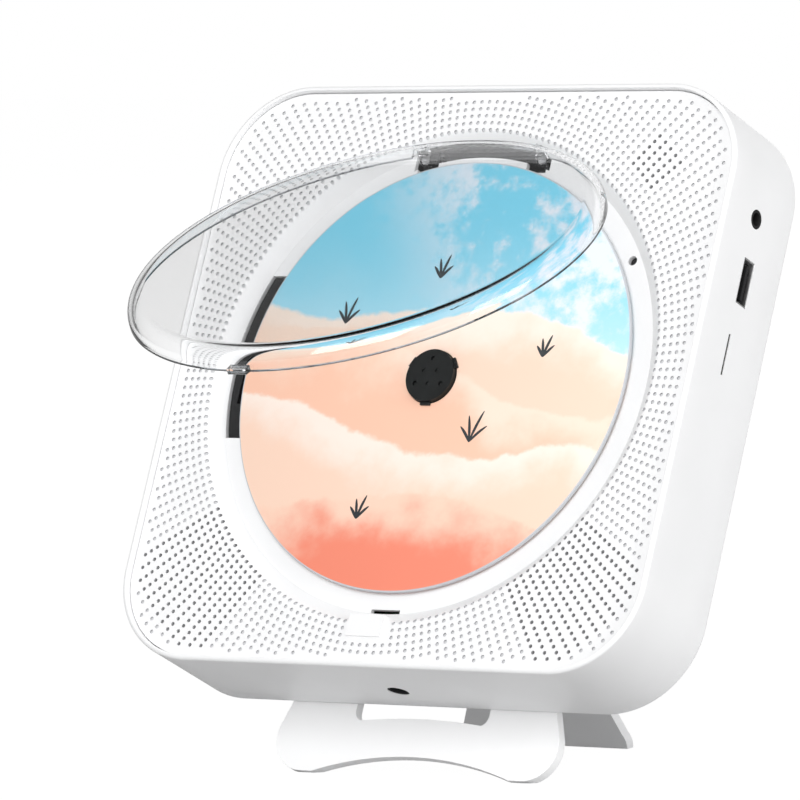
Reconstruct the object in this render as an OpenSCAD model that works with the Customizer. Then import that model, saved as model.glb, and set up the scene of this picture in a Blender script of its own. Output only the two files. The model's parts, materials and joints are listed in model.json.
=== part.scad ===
// Disc player with a clear hinged lid, standing on a fold-out stand.
// The player is drawn upright in its own frame: X to the right, Y to the back, Z up,
// with the disc's centre on the Z and X axes and the face of the front panel at Y = 0.
// leaned() then tips it back and lifts it so that the stand's feet rest on Z = 0.

/* [Body] */
// Width of the body
body_w = 163.5; // [158:0.5:180]
// Height of the body
body_h = 163.5; // [158:0.5:180]
// Depth from the face of the front panel to the back edge
body_d = 31; // [30:0.5:40]
// Radius of the body's four corners
corner_r = 25; // [20:0.5:28]
// Thickness of the side walls
wall = 2.2; // [1.8:0.1:2.8]
// How far the bezel stands in front of the panel
lip_rise = 1.8; // [1.2:0.1:2.4]
// Width of the bezel's front face
lip_w = 1.4; // [1.2:0.1:1.7]
// Radius on the bezel's outer edge
lip_round = 1.2; // [0.6:0.1:1.2]
// Radius on the back outer edge
back_round = 1; // [0.5:0.1:1.4]
// Gap between parts that drop into one another
seam_gap = 0.25; // [0.1:0.05:0.4]

/* [Front panel] */
// Thickness of the panel
panel_t = 2; // [1.6:0.1:2.2]
// Radius of the well's floor
well_r = 65.4; // [65.3:0.1:66]
// Depth of the well's floor
well_depth = 4; // [3.9:0.1:4.3]
// How much wider the well's mouth is than its floor, in radius
mouth_run = 3.9; // [3.4:0.1:4.6]
// Thickness of the well's floor and wall
floor_t = 1.4; // [1.2:0.1:1.5]
// Number of grille holes in a full ring
spokes = 200; // [160:8:200]
// Distance between rings of grille holes
ring_pitch = 2; // [2:0.1:3]
// From the well's mouth to the first whole ring of grille holes
first_ring_in = 2.1; // [1.7:0.1:3.7]
// Diameter of a grille hole
hole_d = 1.1; // [0.8:0.1:1.2]
// Number of rings of holes in a speaker's sector
speaker_rings = 15; // [8:1:16]
// Number of hole spokes in a speaker's sector
speaker_spokes = 13; // [7:2:13]
// Plain border between the holes and the bezel
grille_margin = 1.8; // [1.5:0.1:3]

/* [Display] */
// Width of the display window
display_w = 10.8; // [9:0.1:12]
// Height of the display window
display_h = 6; // [5:0.1:6.5]
// Sideways place of the window's centre
display_x = -1.9; // [-4:0.1:4]
// Distance of the window's centre below the disc's centre
display_drop = 70; // [69.5:0.1:71]
// How far the window stands in front of the panel
display_rise = 0.4; // [0.2:0.1:0.8]

/* [Disc and hub] */
// Diameter of the disc
disc_d = 120; // [118:0.5:120]
// Thickness of the disc
disc_t = 1.2; // [1.1:0.1:1.3]
// Diameter of the disc's centre hole
disc_bore_d = 15; // [14.8:0.1:15.2]
// Depth of the disc's front face behind the panel's face
disc_y = 2; // [1.8:0.1:2.1]
// Diameter of the turntable
turntable_d = 29; // [24:0.5:30]
// Length of hub that stands through the disc
hub_rise = 1.4; // [1.2:0.1:1.6]
// Radial travel of a hub claw
claw_travel = 0.8; // [0.6:0.1:0.9]

/* [Lid] */
// Radial play between the lid's rim and the well's wall
lid_play = 1.4; // [1.2:0.1:1.6]
// Radius of the lid's rounded shoulder
lid_round = 5; // [4.4:0.1:5.4]
// Thickness of the lid
lid_t = 1.6; // [1.4:0.1:1.8]
// How far the closed lid stands in front of the panel
lid_rise = 2.3; // [2:0.1:2.8]
// Gap between the closed lid's edge and the well's floor
lid_gap = 0.3; // [0.2:0.05:0.5]
// Angle at which the lid stands open
lid_open = 42; // [20:1:46]
// Depth of the lid's hinge axis
hinge_y = 5.5; // [5.4:0.1:5.6]
// How far inside the well's wall the hinge line lies
hinge_in = 3.4; // [3.3:0.05:3.5]
// Distance of each hinge ear from the middle
ear_x = 18.5; // [17.5:0.1:19]
// Width of a hinge ear and of a bracket cheek
ear_w = 2.6; // [2.2:0.1:2.8]
// Radius round the hinge axis of an ear and a cheek
ear_r = 1.9; // [1.7:0.1:2]
// Radius of the lid's hinge pins
pin_r = 0.8; // [0.6:0.05:0.9]
// Radial running clearance of pins and shafts
run_gap = 0.05; // [0.03:0.01:0.08]

/* [Mechanism] */
// Lens radius at the inner end of its travel
lens_r0 = 24; // [23.5:0.1:25]
// Travel of the pickup sled
sled_travel = 32; // [28:0.5:32]
// Radius of the guide rods
rod_r = 1.5; // [1.2:0.1:1.6]
// Thickness of the mechanism's base plate
deck_t = 1.6; // [1.4:0.1:2]
// Radius of the spindle motor
spindle_motor_r = 11; // [9:0.5:11]
// Focus travel of the lens each way
focus_travel = 0.4; // [0.2:0.05:0.5]
// Teeth on the gear that meets the rack
pinion_teeth = 12; // [12:1:12]
// Tooth module of the rack
rack_module = 0.6; // [0.6:0.1:0.6]
// Teeth on the large wheel
wheel_teeth = 36; // [36:1:36]
// Teeth on the motor's pinion
motor_teeth = 10; // [10:1:10]
// Tooth module of the large wheel
wheel_module = 0.4; // [0.4:0.1:0.4]

/* [Ports] */
// Diameter of the hole for the audio plug
aux_d = 5.2; // [4.6:0.1:6]
// Height of the audio hole
aux_z = 49.3; // [48:0.1:51]
// Depth of the audio hole
aux_y = 13.4; // [13:0.1:14]
// Height of the USB opening
usb_z = 32; // [30:0.1:34]
// Depth of the USB opening
usb_y = 14.5; // [14:0.1:14.8]
// Long side of the USB opening
usb_w = 12.6; // [12.2:0.1:13]
// Short side of the USB opening
usb_t = 5.3; // [5:0.1:5.6]
// Height of the card slot
card_z = 11.4; // [10:0.1:13]
// Length of the card slot
card_w = 11.4; // [11.2:0.1:12]
// Width of the card slot
card_t = 1.5; // [1.2:0.1:1.8]
// Diameter of the power inlet's hole
dc_d = 6; // [5.6:0.1:6.4]
// Depth of the power inlet's hole
dc_y = 18.2; // [17.8:0.1:18.6]

/* [Side buttons] */
// Distance between side buttons
button_pitch = 11; // [9:0.5:11]
// Height of the lowest side button
button_z0 = -2; // [-2:0.5:0]
// Length of a side button
button_l = 7; // [6:0.5:7.5]
// Width of a side button
button_w = 4; // [3:0.2:5]
// Travel of a side button
button_travel = 0.4; // [0.2:0.05:0.45]

/* [Speakers] */
// Radius of a speaker's frame
speaker_r = 15; // [13:0.5:15]
// Distance of each speaker's centre from the body's side and bottom
speaker_in = 21.25; // [20.8:0.05:21.8]

/* [Rear cover] */
// Thickness of the rear cover
cover_t = 2.2; // [1.8:0.1:2.4]
// Distance of each wall keyhole from the middle
keyhole_x = 30; // [24:1:40]
// Height of the wall keyholes
keyhole_z = 52; // [46:1:56]
// Radius of a keyhole's head opening
keyhole_r = 4.2; // [3.5:0.1:5]
// Radius of a keyhole's slot
keyslot_r = 2.1; // [1.8:0.1:2.4]

/* [Stand] */
// Lean of the player on its stand
lean = 26.5; // [20:0.5:30]
// Angle between the front plate and the rear leg
leg_open = 40; // [34:1:44]
// Thickness of the stand's plates
stand_t = 3; // [2.6:0.1:3.4]
// Distance from the disc's centre to the bottom of the front plate
foot_drop = 100.6; // [96:0.1:106]
// Half the width across the front plate's lobes
foot_half = 44.4; // [42:0.2:48]
// Radius of the front plate's lobes
foot_r = 9.5; // [8:0.1:10.5]
// Half the width of the front plate above its lobes
plate_half = 40.3; // [36:0.1:41]
// Half the width of the front plate's window
window_half = 21; // [18:0.5:23]
// Half the width of the rear leg
leg_half = 21.5; // [19:0.5:24]
// Distance of the leg's hinge below the disc's centre
leg_pivot_drop = 6; // [2:0.5:10]
// Radius of the stand's hinge pin
leg_pin_r = 1; // [0.8:0.1:1.2]
// Distance the stand slides to come off its studs
stand_travel = 8; // [6:0.5:9]

/* [Hidden] */
$fn = 96;
tiny = 0.01;
big = 400;
half_w = body_w / 2;
half_h = body_h / 2;
mouth_r = well_r + mouth_run;
first_ring_r = mouth_r + first_ring_in;
lid_r = well_r - lid_play;
hinge_z = well_r - hinge_in;
speaker_x = half_w - speaker_in;
speaker_z = half_h - speaker_in;
in_w = body_w - 2 * wall;
in_h = body_h - 2 * wall;
in_r = corner_r - wall;
cut_w = body_w - 2 * lip_w;
cut_h = body_h - 2 * lip_w;
cut_r = corner_r - lip_w;
floor_back = well_depth + floor_t;
cover_y = body_d - cover_t - 0.3;
post_r = 3;
web_t = 1.6;
web_start = 2;
screw_r = 1.25;
screw_head_r = 2.4;
screw_head_t = 1.4;
// Mechanism bay: the opening in the well's floor, and the levels behind it
bay_left = -64.9;
bay_right = 22;
bay_low = -17.5;
bay_high = 27.9;
deck_face = well_depth + 0.6;
flange_y = floor_back + 1.6;
flange_back = flange_y + deck_t;
flange_left = -half_w + wall + 7.65;
flange_right = 26;
flange_low = -34;
flange_high = 34;
disc_back = disc_y + disc_t;
hub_r = disc_bore_d / 2 - 0.2;
hub_top = disc_y - hub_rise;
turntable_back = deck_face - 0.2;
shaft_r = 1;
claw_angles = [30, 150, 270];
rod_y = 12;
rod_low = -11;
rod_high = 16;
rod_end_l = flange_left + 0.2;
rod_end_r = -12;
sled_half = 8;
sled_face = 10;
sled_back = 14.5;
neck_half = 6;
lens_x = -lens_r0;
lens_body_r = 3.2;
rack_y = 10.8;
rack_t = 2.4;
rack_z = -18;
rack_half = sled_travel / 2 + 4;
pinion_r = pinion_teeth * rack_module / 2;
wheel_r = wheel_teeth * wheel_module / 2;
motor_r = motor_teeth * wheel_module / 2;
gear_x = lens_x - sled_travel / 2;
gear_z = rack_z - pinion_r;
gear_post_r = 1;
wheel_y = 15;
wheel_t = 1.4;
motor_side = -60;
sled_motor_x = gear_x + (wheel_r + motor_r) * cos(motor_side);
sled_motor_z = gear_z + (wheel_r + motor_r) * sin(motor_side);
sled_motor_can_r = wheel_r + motor_r - pinion_r - rack_module - 0.2;
sled_motor_back = 14.6;
// Lid and its hinge
lid_face = -lid_rise;
lid_edge = well_depth - lid_gap;
lid_flat_r = lid_r - lid_round;
lid_arc_y = lid_face + lid_round;
trim_edge = well_depth - 1.4;
trim_x = ear_x + ear_w / 2 + 1.6;
cheek_x = ear_x - ear_w - 0.3;
relief_r = 4.6;
arm_w = 2.8;
seat_r = well_r + 2.8;
cloth_t = 0.3;
speaker_y = panel_t + cloth_t;
slot_in_r = hinge_z;
slot_x = trim_x;
slot_front = well_depth - 1.6;
bracket_y = hinge_y + ear_r + 0.4;
bracket_t = 2;
switch_a = 32.6;
switch_r = 62.9;
switch_x = switch_r * cos(switch_a);
switch_z = switch_r * sin(switch_a);
switch_hole_r = 1.3;
peg_r = 0.8;
peg_end = floor_back - 0.4;
plunger_r = 0.9;
// Boards and ports
board_t = 1.6;
main_y = cover_y - 6.5;
main_half = 42;
main_low = -half_h + 10.25;
main_high = main_low + 33.5;
port_y = cover_y - 10.5;
port_left = 60;
port_right = half_w - wall - 0.65;
port_low = 2;
port_high = 57;
jack_len = 13;
usb_len = 14;
card_len = 12.5;
port_gap = 0.15;
dc_len = 11;
dc_x = 0;
button_y = 14;
button_rise = 0.8;
switch_face = -half_w + wall + 2.2;
button_board_x = switch_face + 3;
button_board_t = 1.2;
display_board_y = 8.7;
board_post_xs = [display_x - 16.1, display_x + 15.9];
board_post_z = -half_h + 6.25;
// Stand: studs on the rear cover, keyed front plate, pinned rear leg
stand_y = body_d;
stand_back = stand_y + stand_t;
stud_r = 2;
stud_head_r = 3.6;
stud_head_t = 1.2;
stud_x = 28;
stud_zs = [-18, -58];
stud_gap = 0.2;
barrel_r = 2.6;
barrel_gap = 0.2;
pivot_y = stand_back + barrel_r + barrel_gap;
pivot_z = -leg_pivot_drop;
plate_top = pivot_z + 8;
foot_z = -foot_drop;
shoulder_z = foot_z + 22.6;
arch_rise = 5.1;
arch_half = 31.1;
window_low = -86.3;
window_high = -30;
window_arch = 1.3;
foot_cut = 0.6;
leg_lobe_half = leg_half + 5;
leg_lobe_r = 5.5;
leg_lift = 0.9;
// Height of the floor in the player's own leaning frame, as a level along the vertical
floor_level = cos(lean) * foot_z - sin(lean) * stand_back + foot_cut;
leg_back_off = leg_lift + stand_t - barrel_r - barrel_gap;
leg_len = (cos(lean) * pivot_z - sin(lean) * pivot_y - floor_level
    - leg_back_off * sin(lean) * cos(leg_open) + foot_cut) / cos(leg_open - lean);
// Middle of the depth, so that the origin is under the middle of the whole object
lid_turn = lean + lid_open;
lid_mid = turned_back([lid_arc_y - hinge_y, -hinge_z]) + [hinge_y, hinge_z];
front_reach = cos(lean) * lid_mid[0] + sin(lean) * lid_mid[1]
    - lid_flat_r * sin(lid_turn) - lid_round;
back_reach = cos(lean) * (body_d - back_round) + sin(lean) * (half_h - back_round) + back_round;
shift_y = -(front_reach + back_reach) / 2;

// Turns a [depth, height] offset back by the lid's opening angle
function turned_back(p) = [p[0] * cos(lid_open) + p[1] * sin(lid_open),
    -p[0] * sin(lid_open) + p[1] * cos(lid_open)];

// Tips the player back on its stand
module leaned() {
    translate([button_rise / 2, shift_y, -floor_level]) rotate([-lean, 0, 0]) children();
}

// Rod along the depth, from y0 to y1
module rod_deep(x, z, y0, y1, r) {
    translate([x, y0, z]) rotate([-90, 0, 0]) cylinder(r = r, h = y1 - y0);
}

// Rod across, from x0 to x1
module rod_across(x0, x1, y, z, r) {
    translate([x0, y, z]) rotate([0, 90, 0]) cylinder(r = r, h = x1 - x0);
}

// Box between two corners
module block(x0, x1, y0, y1, z0, z1) {
    translate([x0, y0, z0]) cube([x1 - x0, y1 - y0, z1 - z0]);
}

// Plate of a drawn outline, from depth y0 to y1; the outline's Y becomes height
module plate(y0, y1) {
    translate([0, y1, 0]) rotate([90, 0, 0]) linear_extrude(y1 - y0) children();
}

// Solid turned round the disc's axis from a profile of [radius, depth]
module turned() {
    rotate([-90, 0, 0]) rotate_extrude($fn = 180) children();
}

// Rectangle between two corners in a drawing
module rect(x0, x1, y0, y1) {
    translate([x0, y0]) square([x1 - x0, y1 - y0]);
}

// Square with round corners, centred
module rounded(w, h, r) {
    square([w - 2 * r, h], center = true);
    square([w, h - 2 * r], center = true);
    for (x = [-1, 1], y = [-1, 1]) translate([x * (w / 2 - r), y * (h / 2 - r)]) circle(r);
}

// Section of the body's wall: distance from the corner's axis, and depth
module wall_section() {
    r = corner_r;
    difference() {
        union() {
            rect(r - wall, r, -lip_rise + lip_round, body_d - back_round);
            rect(r - wall, r - lip_round, -lip_rise, panel_t);
            rect(r - wall, r - back_round, panel_t, body_d);
            translate([r - lip_round, -lip_rise + lip_round]) circle(lip_round);
            translate([r - back_round, body_d - back_round]) circle(back_round);
        }
        rect(r - wall - 1, r - lip_w, -lip_rise - 1, panel_t);
    }
}

// The wall carried round the body: four straight sides and four round corners
module body_wall() {
    cx = half_w - corner_r;
    cz = half_h - corner_r;
    for (side = [-1, 1]) {
        translate([side * cx, 0, -side * cz]) rotate([0, side < 0 ? 180 : 0, 0])
            linear_extrude(2 * cz) wall_section();
        translate([side * cx, 0, side * cz]) rotate([0, -90 * side, 0])
            linear_extrude(2 * cx) wall_section();
    }
    for (k = [0 : 3]) {
        sx = k == 0 || k == 3 ? 1 : -1;
        sz = k < 2 ? 1 : -1;
        translate([sx * cx, 0, sz * cz]) rotate([0, -90 * k, 0]) rotate([-90, 0, 0])
            rotate([0, 0, -90]) rotate_extrude(angle = 90) wall_section();
    }
}

// Places of the posts that take the rear cover's screws
function post_places() = [[half_w - 13.2, half_h - 13.2], [-half_w + 13.2, half_h - 13.2],
    [half_w - wall - 4.3, -30], [-half_w + wall + 4.3, -30],
    [28, -half_h + wall + 4.3], [-28, -half_h + wall + 4.3]];

// Openings in the side walls for plugs, card and buttons
module port_cuts() {
    rod_across(half_w - wall - 1, half_w + 1, aux_y, aux_z, aux_d / 2);
    block(half_w - wall - 1, half_w + 1, usb_y - usb_t / 2, usb_y + usb_t / 2,
        usb_z - usb_w / 2, usb_z + usb_w / 2);
    block(half_w - wall - 1, half_w + 1, 12.6 - card_t / 2, 12.6 + card_t / 2,
        card_z - card_w / 2, card_z + card_w / 2);
    translate([dc_x, dc_y, -half_h - 1]) cylinder(r = dc_d / 2, h = wall + 2);
    for (i = [0 : 4]) translate([-half_w - 1, 0, 0]) button_shape(i, wall + 2, 0.2);
}

// One side button's outline, along X
module button_shape(i, len, grow) {
    z = button_z0 + i * button_pitch;
    w = button_w + 2 * grow;
    flat = button_l - button_w;
    block(0, len, button_y - w / 2, button_y + w / 2, z - flat / 2, z + flat / 2);
    for (s = [-1, 1]) rod_across(0, len, button_y, z + s * flat / 2, w / 2);
}

module housing() {
    color("white") leaned() {
        difference() {
            body_wall();
            port_cuts();
        }
        for (p = post_places()) difference() {
            union() {
                rod_deep(p[0], p[1], panel_t + 3, cover_y, post_r);
                post_web(p);
            }
            rod_deep(p[0], p[1], cover_y - 8, cover_y + 1, screw_r - 0.15);
        }
    }
}

// Rib that ties a screw post to the nearest wall
module post_web(p) {
    corner = p[0] * p[0] > 4000 && p[1] * p[1] > 4000;
    side = corner ? 0 : (abs(p[0]) > abs(p[1]) ? 1 : 2);
    sx = sign(p[0]);
    sz = sign(p[1]);
    near_x = sx * (abs(p[0]) + web_start);
    far_x = sx * (in_w / 2 + 0.5);
    if (side == 1) block(min(near_x, far_x), max(near_x, far_x), panel_t + 3, cover_y,
        p[1] - web_t / 2, p[1] + web_t / 2);
    if (side == 2) block(p[0] - web_t / 2, p[0] + web_t / 2, panel_t + 3, cover_y,
        -in_h / 2 - 0.5, p[1] - web_start);
    if (side == 0) translate([p[0], 0, p[1]]) rotate([0, -45 * sx * sz + (sx < 0 ? 180 : 0), 0])
        block(web_start, 7, panel_t + 3, cover_y, -web_t / 2, web_t / 2);
}

// Black cloth behind the open holes
module grille_cloths() {
    color([0.08, 0.08, 0.08]) leaned() plate(panel_t, panel_t + cloth_t) {
        for (s = [-1, 1]) difference() {
            translate([s * speaker_x, -speaker_z]) circle(speaker_r + 2);
            circle(mouth_r + floor_t + 0.2, $fn = 180);
        }
        translate([57, 62]) circle(9);
    }
}

// Whether a grille hole fits here, clear of the panel's edge
function in_grille(x, z) = let (hx = cut_w / 2 - grille_margin, hz = cut_h / 2 - grille_margin,
        r = cut_r - grille_margin, dx = max(abs(x) - hx + r, 0), dz = max(abs(z) - hz + r, 0))
    dx * dx + dz * dz <= r * r;

// Through holes on spokes a0.. and rings k0..
module hole_sector(mid_a, spokes_n, k0, k1) {
    step = 360 / spokes;
    for (i = [-(spokes_n - 1) / 2 : (spokes_n - 1) / 2], k = [k0 : k1]) {
        a = mid_a + i * step;
        r = first_ring_r + k * ring_pitch;
        if (in_grille(r * cos(a), r * sin(a)))
            rod_deep(r * cos(a), r * sin(a), -1, panel_t + 1, hole_d / 2);
    }
}

module front_panel() {
    w = cut_w - 2 * seam_gap;
    h = cut_h - 2 * seam_gap;
    color("white") leaned() difference() {
        union() {
            plate(0, panel_t) difference() {
                rounded(w, h, cut_r - seam_gap);
                circle(mouth_r + 0.5, $fn = 180);
            }
            turned() polygon([[well_r, well_depth], [mouth_r, 0], [mouth_r + floor_t, 0],
                [mouth_r + floor_t, panel_t], [seat_r, well_depth]]);
            for (x = board_post_xs) rod_deep(x, board_post_z, panel_t - 0.5, display_board_y, 1.8);
        }
        hinge_slot(slot_front);
        hinge_cuts();
        catch_cut();
        plate(-1, floor_back + 1) translate([display_x, -display_drop])
            square([display_w + 0.3, display_h + 0.3], center = true);
        hole_sector(-45, speaker_spokes, -1, speaker_rings - 2);
        hole_sector(-135, speaker_spokes, -1, speaker_rings - 2);
        hole_sector(46.8, 5, 3, 8);
    }
}

// Notch that takes the lid's catch
module catch_cut() {
    block(-4, 5, well_depth - 2.4, floor_back + 1, -well_r - 0.6, -well_r + 1.2);
}

// Floor of the well, with openings for the deck, the hub, the lid's edge and the lid's switch
module well_floor() {
    color("white") leaned() difference() {
        plate(well_depth, floor_back) circle(seat_r - 0.6, $fn = 180);
        plate(well_depth - 1, floor_back + 1) intersection() {
            circle(well_r, $fn = 180);
            rect(bay_left - 5, bay_right, bay_low, bay_high);
        }
        rod_deep(0, 0, well_depth - 1, floor_back + 1, turntable_d / 2 + 1);
        hinge_slot(well_depth - 1);
        hinge_cuts();
        catch_cut();
        rod_deep(switch_x, switch_z, well_depth - 1, floor_back + 1, switch_hole_r);
        for (p = damper_places()) rod_deep(p[0], p[1], floor_back - 0.9, floor_back + 1, 1);
        block(-12, 8, well_depth - 1, floor_back + 1, -seat_r - 1, -well_r - 1.2);
    }
}

// Slot behind the well's upper edge that the lid's shoulder swings into
module hinge_slot(front) {
    plate(front, floor_back + 1) intersection() {
        difference() {
            circle(mouth_r + floor_t + 0.4, $fn = 180);
            circle(slot_in_r, $fn = 180);
        }
        rect(-slot_x, slot_x, 0, big);
    }
}

// Relief for the lid's arms and the bracket's cheeks
module hinge_cuts() {
    for (s = [-1, 1]) {
        x0 = s * (ear_x + ear_w / 2 + 0.5);
        x1 = s * (cheek_x - ear_w / 2 - 0.3);
        rod_across(min(x0, x1), max(x0, x1), hinge_y, hinge_z, relief_r);
        block(min(x0, x1), max(x0, x1), hinge_y, floor_back + 1, hinge_z - relief_r,
            hinge_z + relief_r - 0.3);
    }
}

function damper_places() = [[-48, flange_low + 4], [-48, flange_high - 3.2],
    [flange_right - 4, flange_low + 4], [flange_right - 4, flange_high - 3.2]];

module display_window() {
    color("white") leaned() plate(-display_rise, floor_back + 0.2)
        translate([display_x, -display_drop]) square([display_w, display_h], center = true);
}

module display_module() {
    color("dimgray") leaned() block(display_x - 8, display_x + 8, floor_back + 0.3,
        display_board_y, -display_drop - 5, -display_drop + 5);
}

module display_board() {
    color("darkgreen") leaned() difference() {
        block(board_post_xs[0] - 3, board_post_xs[1] + 3, display_board_y,
            display_board_y + board_t - 0.4, board_post_z - 3, -display_drop + 6);
        for (x = board_post_xs) rod_deep(x, board_post_z, display_board_y - 1,
            display_board_y + 3, 0.9);
    }
}

module ir_receiver() {
    color("black") leaned() {
        block(9, 13, floor_back + 0.6, display_board_y, -display_drop - 2, -display_drop + 3);
        rod_deep(11, -display_drop + 0.5, floor_back + 0.1, floor_back + 0.7, 1.6);
    }
}

// Lid's outer form when inset is 0, or its hollow when inset is its thickness
module lid_form(inset, edge) {
    turned() rect(0, lid_flat_r, lid_face + inset, edge);
    turned() difference() {
        translate([lid_flat_r, lid_arc_y]) circle(lid_round - inset);
        rect(0, lid_r + 1, edge, edge + 2 * lid_round);
    }
    turned() rect(0, lid_r - inset, lid_arc_y, edge);
}

// Puts the closed lid at its open angle
module lid_pose() {
    translate([0, hinge_y, hinge_z]) rotate([-lid_open, 0, 0])
        translate([0, -hinge_y, -hinge_z]) children();
}

module lid() {
    color("lightblue", 0.4) leaned() lid_pose() {
        difference() {
            union() {
                difference() {
                    lid_form(0, lid_edge);
                    lid_form(lid_t, lid_edge + 2);
                    block(-trim_x, trim_x, trim_edge, lid_edge + 1, 0, lid_r + 1);
                }
                for (s = [-1, 1]) {
                    rod_across(s * ear_x - ear_w / 2, s * ear_x + ear_w / 2, hinge_y, hinge_z,
                        ear_r);
                    block(s * ear_x - ear_w / 2, s * ear_x + ear_w / 2, trim_edge - 1, hinge_y,
                        hinge_z - arm_w, hinge_z + 0.4);
                }
            }
            for (s = [-1, 1]) rod_across(s * ear_x - ear_w, s * ear_x + ear_w,
                hinge_y, hinge_z, pin_r + run_gap);
        }
        rod_deep(switch_x, switch_z, lid_face + lid_t - 0.2, peg_end, peg_r);
        block(-3, 3, lid_edge - 1.6, lid_edge, -well_r + 0.15, -lid_r + lid_t);
    }
}

module lid_hinge_bracket() {
    color("dimgray") leaned() difference() {
        union() {
            plate(bracket_y, bracket_y + bracket_t) intersection() {
                difference() {
                    circle(well_r + 3, $fn = 180);
                    circle(slot_in_r - 1.6, $fn = 180);
                }
                rect(-slot_x, slot_x, 0, big);
            }
            for (s = [-1, 1]) {
                rod_across(s * cheek_x - ear_w / 2, s * cheek_x + ear_w / 2, hinge_y, hinge_z, ear_r);
                block(s * cheek_x - ear_w / 2, s * cheek_x + ear_w / 2, hinge_y,
                    bracket_y + tiny, hinge_z - ear_r, hinge_z + ear_r);
                block(s * (slot_x + 2.5) - 2.5, s * (slot_x + 2.5) + 2.5, floor_back,
                    bracket_y + bracket_t, hinge_z - 7, hinge_z - 1);
                block(s * (slot_x + 1) - 2, s * (slot_x + 1) + 2, bracket_y,
                    bracket_y + bracket_t, hinge_z - 7, hinge_z - 1);
            }
        }
        for (s = [-1, 1]) rod_across(s * cheek_x - ear_w, s * cheek_x + ear_w,
            hinge_y, hinge_z, pin_r);
    }
}

module lid_hinge_pins() {
    color("silver") leaned() for (s = [-1, 1]) {
        x0 = s * (cheek_x - ear_w / 2 + 0.2);
        x1 = s * (ear_x + ear_w / 2 - 0.1);
        rod_across(min(x0, x1), max(x0, x1), hinge_y, hinge_z, pin_r);
    }
}

module lid_switch() {
    color("black") leaned() difference() {
        block(switch_x - 3, switch_x + 3, floor_back, floor_back + 4, switch_z - 3, switch_z + 3);
        rod_deep(switch_x, switch_z, floor_back - 1, floor_back + 2.2, plunger_r + 0.1);
    }
}

module lid_switch_plunger() {
    color("ivory") leaned() rod_deep(switch_x, switch_z, floor_back - 0.1, floor_back + 1.2,
        plunger_r);
}

module disc() {
    color("skyblue") leaned() difference() {
        rod_deep(0, 0, disc_y, disc_back, disc_d / 2, $fn = 180);
        rod_deep(0, 0, disc_y - 1, disc_back + 1, disc_bore_d / 2);
    }
}

module turntable() {
    color([0.1, 0.1, 0.1]) leaned() difference() {
        union() {
            rod_deep(0, 0, disc_back, turntable_back, turntable_d / 2);
            rod_deep(0, 0, hub_top, disc_back + tiny, hub_r);
            rod_deep(0, 0, turntable_back - tiny, flange_back - 0.4, 4);
        }
        rod_deep(0, 0, hub_top + 0.8, flange_back, shaft_r);
        for (a = claw_angles) rotate([0, -a, 0]) {
            block(3.4, hub_r + 1, hub_top + 0.5, disc_back, -1.6, 1.6);
            rod_deep(2.4, 0, hub_top - 1, hub_top + 0.4, 0.6);
        }
        for (a = claw_angles) rotate([0, -a - 60, 0])
            rod_deep(4.7, 0, hub_top - 1, hub_top + 0.7, 0.7);
    }
}

module spindle_shaft() {
    color("silver") leaned() rod_deep(0, 0, hub_top + 0.8, flange_back + 5, shaft_r);
}

// Spring claw that holds the disc on the hub
module hub_claw(i) {
    color([0.15, 0.15, 0.15]) leaned() rotate([0, -claw_angles[i], 0]) {
        block(3.4 + claw_travel + 0.1, hub_r, hub_top + 0.6, disc_back - 0.1, -1.5, 1.5);
        block(hub_r - tiny, disc_bore_d / 2 + 0.6, hub_top + 0.7, disc_y - 0.1, -1.5, 1.5);
    }
}

module spindle_motor() {
    color("silver") leaned() difference() {
        rod_deep(0, 0, flange_back, flange_back + 6.5, spindle_motor_r);
        rod_deep(0, 0, flange_back - 1, flange_back + 5.2, shaft_r + run_gap);
    }
}

module mech_deck() {
    raised = 0.5;
    color([0.13, 0.13, 0.14]) leaned() difference() {
        union() {
            block(flange_left, flange_right, flange_y, flange_back, flange_low, flange_high);
            plate(deck_face, flange_back) intersection() {
                circle(-bay_left, $fn = 180);
                rect(bay_left, bay_right - raised, bay_low + raised, bay_high - raised);
            }
            for (z = [rod_low, rod_high]) {
                block(flange_left, flange_left + 2.6, flange_back - tiny, rod_y + rod_r + 1.2,
                    z - rod_r - 1.2, z + rod_r + 1.2);
                block(rod_end_r - 2.4, rod_end_r, flange_back - tiny, rod_y + rod_r + 1.2,
                    z - rod_r - 1.2, z + rod_r + 1.2);
            }
            rod_deep(gear_x, gear_z, flange_back - tiny, wheel_y + wheel_t + 0.6, gear_post_r);
        }
        rod_deep(0, 0, deck_face - 1, flange_y - 1, turntable_d / 2 + 0.8);
        rod_deep(0, 0, deck_face - 1, flange_back + 1, 5);
        block(lens_x - sled_travel - neck_half - 0.5, lens_x + neck_half + 0.5,
            deck_face - 1, flange_back + 1, -7.5, 9.5);
        for (z = [rod_low, rod_high])
            rod_across(rod_end_l, rod_end_r + 1, rod_y, z, rod_r);
        for (p = damper_places()) rod_deep(p[0], p[1], flange_y - 1, flange_back + 1, screw_r);
    }
}

module deck_dampers() {
    color([0.2, 0.2, 0.22]) leaned() for (p = damper_places()) difference() {
        rod_deep(p[0], p[1], floor_back, flange_y, 3.2);
        rod_deep(p[0], p[1], floor_back - 1, flange_y + 1, screw_r);
    }
}

// Screw along the depth with a round head behind y
module screw(x, z, y_tip, y, r) {
    rod_deep(x, z, y_tip, y, r);
    rod_deep(x, z, y, y + screw_head_t, screw_head_r);
}

module deck_screws() {
    color("silver") leaned() for (p = damper_places())
        screw(p[0], p[1], floor_back - 0.8, flange_back, 1);
}

module guide_rods() {
    color("silver") leaned() for (z = [rod_low, rod_high])
        rod_across(rod_end_l, rod_end_r, rod_y, z, rod_r);
}

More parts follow.
